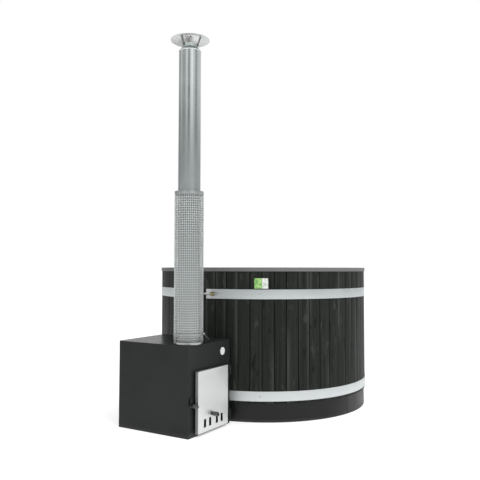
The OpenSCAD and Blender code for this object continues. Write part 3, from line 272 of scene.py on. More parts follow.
def strip(inner, outer, low, high, radius, steps=3):
    """The section of a flat band: a rectangle between two radii and two heights, with its corners eased."""
    return eased([(inner, low), (outer, low), (outer, high), (inner, high)], radius, steps)


def arc(outline, angles):
    """An outline of (radius, height) carried round the tub's axis: x = r cos a, y = r sin a, z = h.
    angles[piece, step] are in radians; the grain is (length along the arc, height, piece)."""
    r, h = outline[:, 0], outline[:, 1]
    a = angles[..., None]
    points = np.stack([r * np.cos(a), r * np.sin(a), h + 0 * a], -1)
    number = np.arange(len(angles))[:, None, None]
    grain = np.stack([r * a, h + 0 * a, number + 0 * points[..., 0]], -1)
    return points, grain


skirt_r, skirt_t, skirt_h, skirt_ease = 0.7914, 0.012, 0.125, 0.0012
skirt_boards, skirt_joint, first_joint = 4, 0.002, math.radians(-11.5)
turn = 2 * math.pi / skirt_boards
trim = math.asin(skirt_joint / 2 / skirt_r)
begins = first_joint + turn * np.arange(skirt_boards)[:, None]
outline = strip(skirt_r - skirt_t, skirt_r, 0, skirt_h, skirt_ease, 4)
points, grain = arc(outline, begins + np.linspace(trim, turn - trim, 61))
black_board = Finish("black_board", shine=0.3)
place = black_board.coords()
x, y, z = black_board.split(place)
cloud = black_board.noise(place, 5.0, 4.0, 0.6)
tooth = black_board.noise(place, 900.0, 2.0)
paler_near_ground = black_board.band(z + cloud * 0.02, 0.035, 0.004) * 0.35
board = (y.maths("ARCTAN2", x) - first_joint) / turn
# Two boards painted paler: a painted sheen on that side of the ring.
painted_sheen_boards = black_board.band(board, -0.001, 0.001) * 0.7
off_joint = (board - board.maths("ROUND")).maths("ABSOLUTE")
face = black_board.mix(cloud, tint(11, 12, 12), tint(19, 20, 20))
face = black_board.mix(painted_sheen_boards, face, tint(33, 35, 34))
face = black_board.mix(black_board.band(off_joint, 0.0052, 0.0026), face, tint(3, 3, 3))
black_board.set({"Base Color": black_board.mix(paler_near_ground, face, tint(84, 83, 78)),
                 "Roughness": black_board.band(cloud, 0.3, 0.7, 0.38, 0.52) + paler_near_ground * 0.3,
                 "Normal": black_board.relief(tooth, 0.00012)})
fit(skin("skirt_boards", (points, False, grain)), black_board, "skirt_black", "tub", "base_skirt")

# Staves: planed softwood with a black stain, tongued and grooved, their outer edges eased. Sixty-one of them
# stand on the skirt in a ring and are drawn together by the hoops; each bows and sits a hair differently. Some
# edges carry a pale painted highlight, the stain is worn pale in patches, and it has pooled in some joints.

stave_count, stave_t, stave_gap, stave_ease = 61, 0.020, 0.002, 0.004
tub_r, stave_top, joint_az = 0.800, 1.022, math.radians(-72.7)
tongue_t, tongue_l, tongue_room = 0.006, 0.006, 0.0003
foot_ease, foot_ease_h, uneven, face_depth, face_fade = 0.001, 0.0015, 0.0005, 0.0055, 0.004
half = math.pi / stave_count
random = np.random.default_rng(61)


def stave_outline():
    """Rows of (side, radius, offset from the joint line), walked once round one stave's section. The outer
    edges are quarter circles: radius R - e (1 - sin q), offset g + e (1 - cos q)."""
    g, mid, lap = stave_gap / 2, tub_r - stave_t / 2, tongue_t / 2
    room, inner = lap + tongue_room, tub_r - stave_t
    q = np.linspace(0, math.pi / 2, 6)
    rise, step = tub_r - stave_ease * (1 - np.sin(q)), g + stave_ease * (1 - np.cos(q))
    rows = [(1, inner, -g), (-1, inner, g), (-1, mid - room, g), (-1, mid - room, g + tongue_l),
            (-1, mid + room, g + tongue_l), (-1, mid + room, g)]
    rows += [(-1, r, s) for r, s in zip(rise, step)]
    rows += [(1, r, -s) for r, s in zip(rise[::-1], step[::-1])]
    rows += [(1, mid + lap, -g), (1, mid + lap, tongue_l - g), (1, mid - lap, tongue_l - g), (1, mid - lap, -g)]
    return np.array(rows, float)


side, radius, offset = stave_outline().T
out = radius * np.cos(side * half) - offset * np.sin(side * half)
wide = radius * np.sin(side * half) + offset * np.cos(side * half)
heights = np.concatenate([[skirt_h, skirt_h + foot_ease_h], np.linspace(0.14, 1.015, 26), [stave_top]])
numbers = np.arange(stave_count)
# How deep each outer face lies: its seat, a bow along its length, and the eased edge at its foot.
seat = random.uniform(0, uneven, stave_count)[:, None]
bow = random.uniform(0, uneven, stave_count)[:, None]
waves = random.uniform(0.7, 1.6, stave_count)[:, None]
deep = np.abs(seat + bow * np.sin(math.pi * (heights - skirt_h) / (stave_top - skirt_h) * waves))
deep[:, 0] += foot_ease
outer_face = np.clip((out - (tub_r - face_depth)) / face_fade, 0, 1)
reach = out - deep[..., None] * outer_face
azimuth = (joint_az + (2 * numbers + 1) * half)[:, None, None]
points = np.stack([reach * np.cos(azimuth) - wide * np.sin(azimuth),
                   reach * np.sin(azimuth) + wide * np.cos(azimuth),
                   heights[None, :, None] + 0 * reach], -1)
grain = np.stack([wide + 0 * reach, heights[None, :, None] + 0 * reach, numbers[:, None, None] + 0 * reach], -1)
stain = Finish("black_stain", shine=0.10)
across, along, piece = stain.grain()
colour = timber(stain, across, along, piece, tint(22, 24, 22), tint(38, 41, 38), 0.50, height=0.0004, vary=0.16)
off_middle, right = across.maths("ABSOLUTE"), across.maths("GREATER_THAN", 0.0)
edge_odds = stain.noise(stain.join((piece * 2 + right) * 7.31, along * 0.8, 6.7), detail=1.0)
joint_odds = stain.noise(stain.join((piece + right) * 5.17, 0.0, 5.9), detail=0.0)
# Pale along some edges: a painted highlight, as if the eased edges caught the light.
painted_edge_highlight = stain.band(off_middle, 0.008, 0.035) * stain.band(edge_odds, 0.50, 0.66)
patch = stain.noise(stain.join(across * 30, along * 7, piece * 4.7), detail=2.0, rough=0.6)
colour = stain.mix(painted_edge_highlight * 0.50, colour, tint(68, 72, 67))
colour = stain.mix(stain.band(patch, 0.60, 0.74) * 0.45, colour, tint(66, 70, 64))
colour = stain.mix(stain.band(patch, 0.39, 0.27) * 0.8, colour, tint(12, 13, 12))
pooled = stain.band(off_middle, 0.0366, 0.0386) * stain.band(joint_odds, 0.40, 0.56, 0.05, 0.75)
stain.set({"Base Color": stain.mix(pooled, colour, tint(5, 5, 5))})
fit(skin("stained_staves", (points, False, grain)), stain, "stave_stain", "tub", "staves")

# Hoops: two stainless bands with rolled edges, one high and one low, each screwed to a few staves so that it
# can't slip. A hoop is open at its clamp, where the rod draws its two ends together.

hoop_w, hoop_in_r, hoop_out_r, hoop_gap, hoop_ease = 0.065, 0.8003, 0.8023, 0.060, 0.0009
# The lower hoop's colour is painted lighter than the upper's, as the light thrown up on it from the pale floor.
hoops = [("upper_hoop", 0.817, math.radians(-91.5), tint(203, 208, 209)),
         ("lower_hoop", 0.1405, math.radians(150.0), tint(216, 220, 221))]
trim = math.asin(hoop_gap / 2 / hoop_out_r)


def brushed(finish, lines, place, colour, rough=0.3, height=0.00006, edge=0.0, smudge=1.0):
    """Stainless sheet: `lines` is a vector stretched along the brushing, and its noise moves the colour, the
    roughness and the relief a little. Slow noise over `place` adds the smudges of handling."""
    scratch = finish.noise(lines, 1.0, 4.0, 0.7)
    cloud = finish.noise(place, 4.0, 3.0, 0.6, 0.4)
    low, high = tuple(0.80 * c for c in colour), tuple(min(1.0, 1.06 * c) for c in colour)
    finish.set({"Metallic": 1.0,
                "Base Color": finish.mix(finish.band(scratch * 0.7 + cloud * 0.3, 0.3, 0.7), low, high),
                "Roughness": finish.band(cloud, 0.3, 0.72, rough - 0.05, rough + 0.07 * smudge) + scratch * 0.08,
                "Normal": finish.relief(scratch, height, 0.5, edge)})


for name, low, clamp_az, painted_light_tone in hoops:
    outline = strip(hoop_in_r, hoop_out_r, low, low + hoop_w, hoop_ease)
    points, grain = arc(outline, clamp_az + np.linspace(trim, 2 * math.pi - trim, 481)[None])
    hoop_steel = Finish("hoop_steel_" + name, {"Anisotropic": 0.4})
    round_m, height_m, _ = hoop_steel.grain()
    lines = hoop_steel.join(round_m * 7, height_m * 900, 0.0)
    brushed(hoop_steel, lines, hoop_steel.coords(), painted_light_tone, rough=0.52)
    fit(skin("band_" + name, (points, False, grain)), hoop_steel, "hoop_steel", "tub", name)


def full_turn(count):
    """The angles of count even steps round a full circle."""
    return np.linspace(0, 2 * math.pi, count, endpoint=False)


def turned(outline, sides=48, at=(0, 0, 0), axis="z"):
    """Turned work: rows of (radius, distance along the axis) spun about an axis through `at`."""
    outline = np.asarray(outline, float)
    a = full_turn(sides)
    r, h = outline[:, :1], outline[:, 1:] + 0 * a
    u, v = r * np.cos(a), r * np.sin(a)
    order = {"x": (h, u, v), "y": (v, h, u), "z": (u, v, h)}[axis]
    return (np.stack(order, -1) + np.asarray(at, float))[None]


def round_tub(points, angles):
    """Copies of a grid of points turned about the tub's axis, one for each angle in radians."""
    a = np.asarray(angles, float)[:, None, None]
    x, y, z = points[0, ..., 0], points[0, ..., 1], points[0, ..., 2]
    return np.stack([x * np.cos(a) - y * np.sin(a), x * np.sin(a) + y * np.cos(a), z + 0 * a], -1)


zinc = Finish("bright_zinc")
place = zinc.coords()
x, y, z = zinc.split(place)
brushed(zinc, zinc.join(x * 400, y * 400, z * 400), place, tint(196, 197, 192), rough=0.32)

screw_r, screw_t, socket_r, socket_depth = 0.005, 0.0025, 0.0026, 0.0014
head = [(screw_r, 0), (screw_r, 0.0006), (screw_r * 0.86, 0.0016), (screw_r * 0.55, 0.0023), (socket_r, screw_t),
        (socket_r - 0.0004, screw_t - 0.0010), (0.0006, screw_t - socket_depth)]
screw_angles = math.radians(-61.8) + np.arange(4) * math.pi / 2
screws = [(round_tub(turned(head, 20, (hoop_out_r, 0, low + hoop_w / 2), "x"), screw_angles), False)
          for _, low, _, _ in hoops]
fit(skin("hoop_screw_heads", *screws), zinc, "screw_steel", "tub", "hoop_screws")

# Hoop clamps: on each hoop two welded lugs with sleeves, a threaded rod through them, and a long yellow-zinc
# nut at each end that draws the hoop tight.

lug_l, lug_t, sleeve_d, rod_r, nut_r, nut_l = 0.044, 0.003, 0.018, 0.005, 0.012, 0.030
nut_room, rod_spare, nut_chamfer = 0.0003, 0.008, 0.0022
thread_pitch, thread_depth, thread_sides = 0.0015, 0.0007, 24
rod_off = hoop_out_r + lug_t + sleeve_d / 2
nut_from = hoop_gap / 2 + lug_l + nut_room


def threaded(half_length):
    """A screw thread along Y: radius = r - d |saw(h / p - a / 2 pi)|, a ridge that climbs one pitch a turn."""
    h = np.arange(-half_length, half_length + thread_pitch / 8, thread_pitch / 4)[:, None]
    a = full_turn(thread_sides)[None]
    phase = (h / thread_pitch - a / (2 * math.pi)) % 1.0
    r = rod_r - thread_depth * np.abs(2 * phase - 1)
    return np.stack([rod_off + r * np.sin(a), h + 0 * a, r * np.cos(a)], -1)[None]


def long_nut(start):
    """A six-sided nut along Y: radius = min(apothem / cos(a mod 60 - 30), a cone at each end)."""
    rise = np.linspace(0.0004, nut_chamfer, 4)
    h = np.concatenate([[0, 0], rise, nut_l - rise[::-1], [nut_l, nut_l]])
    a = full_turn(48)[None]
    hexagon = nut_r * math.cos(math.pi / 6) / np.cos((a % (math.pi / 3)) - math.pi / 6)
    cone = nut_r * 0.90 + 0.9 * np.minimum(h, nut_l - h)[:, None]
    r = np.minimum(hexagon, cone)
    r[0] = r[-1] = rod_r - thread_depth / 2
    return np.stack([rod_off + r * np.sin(a), h[:, None] + start + 0 * a, r * np.cos(a)], -1)[None]


rods, nuts = [], []
for _, low, clamp_az, _ in hoops:
    lift = np.array([0, 0, low + hoop_w / 2])
    rods.append((round_tub(threaded(nut_from + nut_l + rod_spare) + lift, [clamp_az]), False))
    for start in (nut_from, -nut_from - nut_l):
        nuts.append((round_tub(long_nut(start) + lift, [clamp_az]), False))
fit(skin("threaded_rods", *rods), zinc, "rod_steel", "tub", "clamp_rods")
yellow_zinc = Finish("yellow_zinc", {"Metallic": 1.0})
place = yellow_zinc.coords()
film = yellow_zinc.noise(place, 90.0, 3.0, 0.6, 0.8)
yellow_zinc.set({"Base Color": yellow_zinc.mix(film, tint(118, 108, 70), tint(172, 160, 112)),
                 "Roughness": yellow_zinc.band(film, 0.3, 0.7, 0.25, 0.42),
                 "Normal": yellow_zinc.relief(yellow_zinc.noise(place, 1600.0), 0.00005)})
fit(skin("long_nuts", *nuts), yellow_zinc, "nut_brass", "tub", "clamp_nuts")


def sheet_steel(name, colour, rough, scale, edge=0.0008, plain=None):
    """Brushed sheet on Object coordinates; scale says how finely the lines run along X, Y and Z."""
    finish = Finish(name, plain)
    place = finish.coords()
    lines = finish.node("ShaderNodeVectorMath", {"operation": "MULTIPLY"}, {0: place, 1: scale})
    brushed(finish, lines, place, colour, rough, edge=edge)
    return finish


dress(sheet_steel("lug_steel", tint(204, 205, 204), 0.38, (300, 300, 900), 0.0010), "hoop_lugs")

# Rim cap: a moulded plastic ring that covers the tops of the staves and the foam, with a lip outside and a
# round nose inside. Below it hangs the liner, a welded plastic drum with a cove at its foot.


def moulded(name, colour, rough, deep=0.88, tooth=700.0, edge=0.0, shine=0.5):
    """Moulded plastic: one colour with slow clouds, fine tooth in the relief and a little wear in the gloss."""
    finish = Finish(name, shine=shine)
    place = finish.coords()
    cloud = finish.noise(place, 3.5, 4.0, 0.6)
    scuff = finish.noise(place, 46.0, 5.0, 0.75, 0.5)
    fine = finish.noise(place, tooth, 2.0)
    finish.set({"Base Color": finish.mix(cloud * 0.7 + scuff * 0.3, tuple(deep * c for c in colour), colour),
                "Roughness": finish.band(scuff, 0.35, 0.7, rough - 0.06, rough + 0.08),
                "Normal": finish.relief(fine * 0.6 + scuff * 0.4, 0.00015, 0.7, edge)})
    return finish


rim_top, rim_t, rim_lip, lip_t, lip_room = 1.030, 0.008, 0.027, 0.004, 0.0003
water_r, liner_t, floor_z, cove_r, eye_r = 0.74438, 0.006, 0.150, 0.025, 0.002
lip_in = tub_r + lip_room
lip_out, lip_foot, rim_foot = lip_in + lip_t, rim_top - rim_lip, rim_top - rim_t
corners = [(water_r, rim_foot), (lip_in, rim_foot), (lip_in, lip_foot), (lip_out, lip_foot), (lip_out, rim_top),
           (water_r, rim_top)]
rim_outline = eased(corners, [0.0005, 0.0005, 0.001, 0.0012, 0.004, 0.004], 5)
points, grain = arc(rim_outline, full_turn(288)[None])
rim_grey = moulded("rim_grey", tint(104, 105, 104), 0.6, shine=0.25)
fit(skin("rim_ring", (points, True, grain)), rim_grey, "rim_grey", "tub", "rim_cap")

q = np.linspace(0, math.pi / 2, 9)
cove = np.stack([water_r - cove_r + cove_r * np.cos(q), floor_z + cove_r - cove_r * np.sin(q)], -1)
inner_wall = np.stack([np.full(12, water_r), np.linspace(rim_foot, floor_z + cove_r, 13)[:-1]], -1)
floor_run = np.stack([np.linspace(0.70, eye_r, 12), np.full(12, floor_z)], -1)
outside = [(eye_r, floor_z - liner_t), (water_r + liner_t, floor_z - liner_t), (water_r + liner_t, rim_foot)]
drum = turned(np.concatenate([inner_wall, cove, floor_run, outside]), 240)
liner_grey = moulded("liner_grey", tint(136, 141, 143), 0.34)
fit(skin("liner_drum", (drum, True)), liner_grey, "liner_grey", "tub", "tub_liner")
dress(moulded("bracket_grey", tint(128, 133, 135), 0.4, edge=0.0015), "bench_brackets")

# Bench: heat-treated planks mitred round the wall on radial bearers and legs, with one bay left out to step
# in through. Each plank end is held by two countersunk bright screws.

bench_from, bench_step, bays = math.radians(112.5), math.radians(45), 7
plank_w, plank_gap, bench_in, seat_z = 0.090, 0.008, 0.430, 0.530


def bench_timber(name, shift, deep, pale, mode):
    """Timber that follows the ring: a = atan2(y, x) picks the bay, and the place is turned into that bay."""
    finish = Finish(name, shine=0.35)
    x, y, z = finish.split(finish.coords())
    bay = ((y.maths("ARCTAN2", x) - bench_from) / bench_step + shift).maths("FLOOR")
    middle = (bay + (0.5 - shift)) * bench_step + bench_from
    c, s = middle.maths("COSINE"), middle.maths("SINE")
    outward, sideways = x * c + y * s, y * c - x * s
    plank = ((outward - bench_in) / (plank_w + plank_gap)).maths("FLOOR")
    if mode == "plank":
        timber(finish, outward, sideways, bay * 3.1 + plank, deep, pale, 0.5, 0.8, 0.0004, 0.003)
    elif mode == "bearer":
        timber(finish, z, outward, bay, deep, pale, 0.6, 0.8, 0.0006, 0.002)
    else:
        timber(finish, sideways, z, bay, deep, pale, 0.6, 0.8, 0.0006, 0.002)
    return finish


dress(bench_timber("bench_planks", 0.0, tint(122, 82, 46), tint(176, 130, 82), "plank"), "bench_slats")
dress(bench_timber("bench_bearer_wood", 0.5, tint(104, 70, 40), tint(150, 108, 66), "bearer"), "bench_bearers")
dress(bench_timber("bench_leg_wood", 0.5, tint(104, 70, 40), tint(150, 108, 66), "leg"), "bench_legs")
sunk_r, screws_apart, off_mitre = 0.0045, 0.048, 0.011
sunk_head = [(sunk_r, -0.0004), (sunk_r, 0.0002), (0.0040, 0.0004), (0.0022, 0.0004), (0.0019, -0.0006),
             (0.0004, -0.0006)]
mitres = bench_from + bench_step * np.arange(bays + 1)
bench_screws = []
for plank_middle in (0.475, 0.573, 0.680):
    for apart in (-screws_apart / 2, screws_apart / 2):
        for beside, held in ((-off_mitre, mitres[1:]), (off_mitre, mitres[:-1])):
            spot = turned(sunk_head, 12, ((plank_middle + apart) / math.cos(bench_step / 2), beside, seat_z))
            bench_screws.append((round_tub(spot, held), False))
fit(skin("bench_screw_heads", *bench_screws), zinc, "screw_steel", "tub")

# Drain: a stainless strainer in the liner's floor, a grey plastic pipe under it, and a valve behind the tub
# with two ribbed union nuts and a red lever that turns a quarter.

fitting_steel = sheet_steel("fitting_steel", tint(205, 207, 207), 0.28, (420, 420, 420))
dress(fitting_steel, "drain_strainer", "water_pipes", "pipe_flanges", "pipe_screens")
dress(moulded("pipe_grey", tint(118, 123, 126), 0.4), "drain_pipe")
valve_at, valve_l, valve_r, valve_bore = np.array([0.140, 0.7934, 0.050]), 0.084, 0.033, 0.022
union_r, union_l, union_in, union_edge, rib_depth, ribs = 0.037, 0.020, 0.0225, 0.0015, 0.0012, 24


def union_nut(start):
    """A ring nut along Y whose rim is ribbed: radius = R - d (0.5 + 0.5 cos n a) between its chamfers."""
    near = np.array([0, 0, union_edge, 2 * union_edge])
    h = np.concatenate([near, union_l - near[::-1]])[:, None]
    a = full_turn(144)[None]
    ribbed = np.array([0, 0, 0, 1, 1, 0, 0, 0])[:, None]
    half_nut = [union_in, union_r - union_edge, union_r, union_r]
    r = np.array(half_nut + half_nut[::-1])[:, None] - ribbed * rib_depth * (0.5 + 0.5 * np.cos(ribs * a))
    return (valve_at + np.stack([r * np.sin(a), start + h + 0 * a, r * np.cos(a)], -1))[None]


barrel = strip(valve_bore, valve_r, union_l * 0.4, valve_l - union_l * 0.4, 0.002)
bore = [(0.0221, 0.001), (0.0221, valve_l - 0.001), (0.0229, valve_l - 0.001), (0.0229, 0.001)]
ball = [(0.0215, valve_l / 2 - 0.012), (0.0215, valve_l / 2 + 0.012)]
neck_r, stem_r, neck_top = 0.0120, 0.006, valve_r + 0.008
neck = [(neck_r, 0.030), (neck_r, neck_top - 0.001), (0.0112, neck_top), (stem_r, neck_top),
        (stem_r, neck_top + 0.0092), (0.0052, neck_top + 0.010)]
valve = skin("drain_valve",
             (turned(barrel, 96, valve_at, "y"), True),
             (turned(bore, 64, valve_at, "y"), True),
             (turned(ball, 64, valve_at, "y"), False),
             (turned(neck, 48, valve_at + (0, valve_l / 2, 0)), False),
             (union_nut(0.0), True), (union_nut(valve_l - union_l), True))
fit(valve, moulded("valve_grey", tint(84, 89, 92), 0.36), "valve_grey", "tub", "valve_body")
dress(moulded("lever_red", tint(168, 34, 34), 0.36, edge=0.001), "valve_lever")

# Heater casing: folded sheet with a satin black powder coat, in four pieces: three walls in one, a front, a
# top and a pan with feet. It stands hard by the tub and hides the water jacket and the firebox.


def powder(name, deep, pale, rough, edge=0.0012):
    """Powder coat: a fine orange peel in the relief, slow clouds in the colour, and near the ground a paler band,
    a painted reflection of the pale floor.
    """
    finish = Finish(name, shine=0.18)
    place = finish.coords()
    x, y, z = finish.split(place)
    cloud = finish.noise(place, 2.6, 4.0, 0.6)
    peel = finish.noise(place, 620.0, 2.0, 0.5)
    rub = finish.noise(place, 30.0, 6.0, 0.8, 0.6)
    # Paler near the ground: a painted reflection of the pale floor.
    paler_near_ground = finish.band(z + cloud * 0.03, 0.05, 0.0) * 0.22
    coat = finish.mix(finish.band(cloud * 0.7 + rub * 0.3, 0.35, 0.65), deep, pale)
    finish.set({"Base Color": finish.mix(paler_near_ground, coat, tint(96, 94, 88)),
                "Roughness": finish.band(rub, 0.35, 0.75, rough - 0.05, rough + 0.09),
                "Normal": finish.relief(peel, 0.00018, 0.6, edge)})
    return finish


dress(powder("casing_black", tint(27, 30, 29), tint(34, 37, 36), 0.42), "heater_casing", "front_panel")
dress(powder("top_black", tint(26, 29, 28), tint(34, 37, 36), 0.24), "top_plate")
dress(powder("pan_black", tint(20, 21, 20), tint(30, 31, 30), 0.5), "base_pan", "latch_keeper", "hinge_seats",
      "door_hinges")
dress(sheet_steel("jacket_steel", tint(178, 180, 179), 0.4, (300, 300, 30)), "water_jacket")
dress(moulded("gasket_black", tint(24, 24, 24), 0.7), "pipe_gaskets")
dress(moulded("plug_white", tint(212, 214, 212), 0.4, 0.94, edge=0.0006), "casing_plug")

# Firebox: plate steel that the fire has tinted and sooted, with a cast grate on two ledges, a loose ash pan
# under it and a baffle below the flue.

soot = Finish("sooted_steel", shine=0.3)
place = soot.coords()
black = soot.band(soot.noise(place, 9.0, 6.0, 0.7, 0.7), 0.38, 0.62)
heat = soot.noise(place, 4.0, 3.0)
soot.set({"Base Color": soot.mix(black, soot.mix(heat, tint(96, 82, 74), tint(120, 112, 116)), tint(24, 23, 22)),
          "Metallic": 1.0 - black, "Roughness": soot.band(black, 0.0, 1.0, 0.48, 0.92),
          "Normal": soot.relief(soot.noise(place, 180.0, 4.0), 0.0006, 0.8)})
dress(soot, "firebox", "fire_baffle")
iron = Finish("raw_casting", {"Metallic": 0.6})
pores = iron.noise(iron.coords(), 240.0, 5.0, 0.7)
iron.set({"Base Color": iron.mix(pores, tint(34, 33, 32), tint(66, 62, 58)),
          "Roughness": iron.band(pores, 0.3, 0.7, 0.85, 0.6), "Normal": iron.relief(pores, 0.0012, 1.0, 0.002)})
dress(iron, "fire_grate")
spangle = Finish("galvanised", {"Metallic": 1.0})
place = spangle.coords()
flake = spangle.node("ShaderNodeTexVoronoi", {"feature": "F1"}, {"Vector": place, "Scale": 120.0}, out="Color")
shade = spangle.split(flake)[0]
ash = spangle.band(spangle.noise(place, 14.0, 5.0, 0.7), 0.45, 0.65)
spangle.set({"Base Color": spangle.mix(ash, spangle.mix(shade, tint(138, 142, 144), tint(176, 180, 182)),
                                       tint(118, 114, 108)),
             "Roughness": spangle.band(ash, 0.0, 1.0, 0.42, 0.9), "Normal": spangle.relief(shade, 0.0001)})
dress(spangle, "ash_pan")

# Flue: two lengths of rolled and welded stainless pipe, the upper pushed into the lower and beaded at its top,
# on a flat collar. The shine runs down it in upright bands, because rolled sheet isn't quite round.

flue_x, flue_y, flue_r, flue_wall = 0.1245, -1.1655, 0.0705, 0.001
case_top, collar_w, collar_t, joint_z, joint_gap, flue_top = 0.553, 0.012, 0.003, 1.490, 0.002, 2.407
push_in, bead_l, top_room, rolled_in, weld_az = 0.04, 0.007, 0.0003, 0.0003, 1.9
flue_axis = (flue_x, flue_y, 0)
rolled = [(3, 0.00010, 0.4), (7, 0.00008, 2.1), (13, 0.00005, 4.4), (22, 0.00002, 1.2)]


def rolled_pipe(outline, sides=256):
    """A wall spun about the flue's axis whose radius wavers: r + sum of w cos(k a + p), the same at any height,
    as sheet that was bent in rolls has flats too slight to feel."""
    points = turned(outline, sides, flue_axis)
    away = points[..., :2] - (flue_x, flue_y)
    a = np.arctan2(away[..., 1], away[..., 0])
    waver = sum(size * np.cos(count * a + phase) for count, size, phase in rolled)
    reach = np.linalg.norm(away, axis=-1)
    points[..., :2] = (flue_x, flue_y) + away * ((reach - rolled_in + waver) / reach)[..., None]
    return points


def pipe_steel(name, colour, rough, dull):
    """Pipe steel: the lines run upright, so the noise is fine in the angle and slow in the height. The
    hotter the pipe gets, the duller it is: from 2.3 m down to 1.6 m its roughness grows by `dull`, and over the
    same span its colour is made darker and greyer; at its foot it is a little straw. The weld is a fine dull line
    up the back."""
    finish = Finish(name, {"Anisotropic": 0.25})
    place = finish.coords()
    x, y, z = finish.split(place)
    a = (y - flue_y).maths("ARCTAN2", x - flue_x)
    weld = finish.band((a - weld_az).maths("ABSOLUTE"), 0.016, 0.004)
    brushed(finish, finish.join(a * 22, z * 0.7, 0.0), place, colour, rough, 0.00003)
    lower_down = finish.band(z, 2.3, 1.6)
    # The colour is made darker and greyer lower down the pipe.
    greyed_low = finish.mix(lower_down * 0.70, finish.fed("Base Color"), tint(140, 148, 147))
    warm = finish.mix(finish.band(z, 0.95, 0.58) * 0.10, greyed_low, tint(196, 178, 146))
    finish.set({"Base Color": finish.mix(weld * 0.4, warm, tint(120, 122, 122)),
                "Roughness": finish.fed("Roughness") + lower_down * dull})
    return finish


steps = np.linspace(0, 1, 9)[:, None]
flue_in, flue_foot = flue_r - flue_wall, case_top + collar_t
lower_top, upper_foot = joint_z - joint_gap / 2, joint_z + joint_gap / 2
bead = [(flue_r + 0.0012, flue_top - 0.0055), (flue_r + 0.0018, flue_top - 0.0035),
        (flue_r + 0.0012, flue_top - 0.0015), (flue_r, flue_top - top_room)]
lower = np.concatenate([(flue_r, flue_foot) + steps * (0, lower_top - flue_foot),
                        (flue_in, lower_top) - steps * (0, lower_top - flue_foot)])
upper = np.concatenate([(flue_r, upper_foot) + steps * (0, flue_top - bead_l - upper_foot), bead,
                        (flue_in, flue_top - top_room) - steps * (0, flue_top - joint_z),
                        [(flue_in - flue_wall, joint_z - push_in), (flue_in - 0.0004, joint_z - push_in)]])
flue_steel = pipe_steel("flue_steel", tint(212, 219, 218), 0.12, 0.30)
guarded_steel = pipe_steel("guarded_steel", tint(190, 196, 196), 0.34, 0.12)
fit(skin("lower_pipe", (rolled_pipe(lower), True)), guarded_steel, "flue_steel", "tub", "lower_flue")
fit(skin("upper_pipe", (rolled_pipe(upper), True)), flue_steel, "flue_steel", "tub", "upper_flue")
collar = turned(strip(flue_in, flue_r + collar_w, case_top, flue_foot, 0.0008), 144, flue_axis)
ring_steel = sheet_steel("ring_steel", tint(178, 182, 182), 0.34, (260, 260, 900))
fit(skin("foot_collar", (collar, True)), ring_steel, "flue_steel", "tub", "flue_collar")

# Heat guard: round stainless wire, rings welded outside upright wires, between a foot band and a top band. It
# stands off the flue on pins, so that nobody touches the hot pipe, and a worm clamp draws its foot tight.

wire_r, ring_mid, upright_mid, guard_foot, guard_top = 0.0017, 0.09175, 0.0892, 0.557, 1.505
ring_rows, ring_pitch, ring_first, upright_count = 60, 0.0148, 0.5894, 45
band_in, band_t, foot_band, top_band, band_ease = 0.0905, 0.0012, 0.012, 0.022, 0.0005
a = full_turn(8)
circle = np.stack([ring_mid + wire_r * np.cos(a), wire_r * np.sin(a)], -1)
one_ring = np.swapaxes(turned(circle, 120, flue_axis), 1, 2)
levels = ring_first + ring_pitch * np.arange(ring_rows)
rings = one_ring + np.stack([0 * levels, 0 * levels, levels], -1)[:, None, None]
one_wire = turned([(wire_r, guard_foot), (wire_r, guard_top)], 8)
u = 2 * math.pi * np.arange(upright_count) / upright_count
around = np.stack([flue_x + upright_mid * np.cos(u), flue_y + upright_mid * np.sin(u), 0 * u], -1)
wires = one_wire + around[:, None, None]
guard_steel = sheet_steel("guard_steel", tint(220, 224, 223), 0.55, (500, 500, 500), 0.0)
x, y, z = guard_steel.split(guard_steel.coords())
foot_shade = guard_steel.band(z, 0.640, 0.556) * 0.6
guard_steel.set({"Base Color": guard_steel.mix(foot_shade, guard_steel.fed("Base Color"), tint(112, 114, 113))})
fit(skin("guard_rings_round", (rings, True)), guard_steel, "guard_steel", "tub", "guard_rings")
fit(skin("guard_uprights", (wires, False)), guard_steel, "guard_steel", "tub", "guard_wires_upright")
bands = []
for low, tall in ((guard_foot, foot_band), (guard_top - top_band, top_band)):
    outline = strip(band_in, band_in + band_t, low, low + tall, band_ease)
    bands.append((turned(outline, 192, flue_axis), True))
fit(skin("guard_end_bands", *bands), ring_steel, "guard_steel", "tub", "guard_bands")
dress(guard_steel, "guard_standoffs")
dress(sheet_steel("clamp_steel", tint(172, 176, 175), 0.5, (260, 260, 900)), "guard_clamp")

# Rain hat: a spun stainless cone with a rolled edge, on three bent straps that stand round the narrow spout,
# whose own cone is riveted to the top of the pipe. It keeps the rain out and lets the smoke out sideways.

spout_r, shoulder, spout_h, hat_r, hat_z, hat_rise, hat_t = 0.052, 0.020, 0.022, 0.122, 2.477, 0.034, 0.0015
roll_r, swell_h, swells, rivet_r = 0.0018, 0.0006, 7, 0.0055
cone_foot, cone_top, spout_in = flue_top - 0.0002, flue_top + shoulder, spout_r - flue_wall
cone = eased([(flue_r - 0.0012, cone_foot), (flue_r - 0.0002, cone_foot), (spout_r, cone_top),
              (spout_r, cone_top + spout_h), (spout_in, cone_top + spout_h), (spout_in, cone_top)], 0.0004, 2)
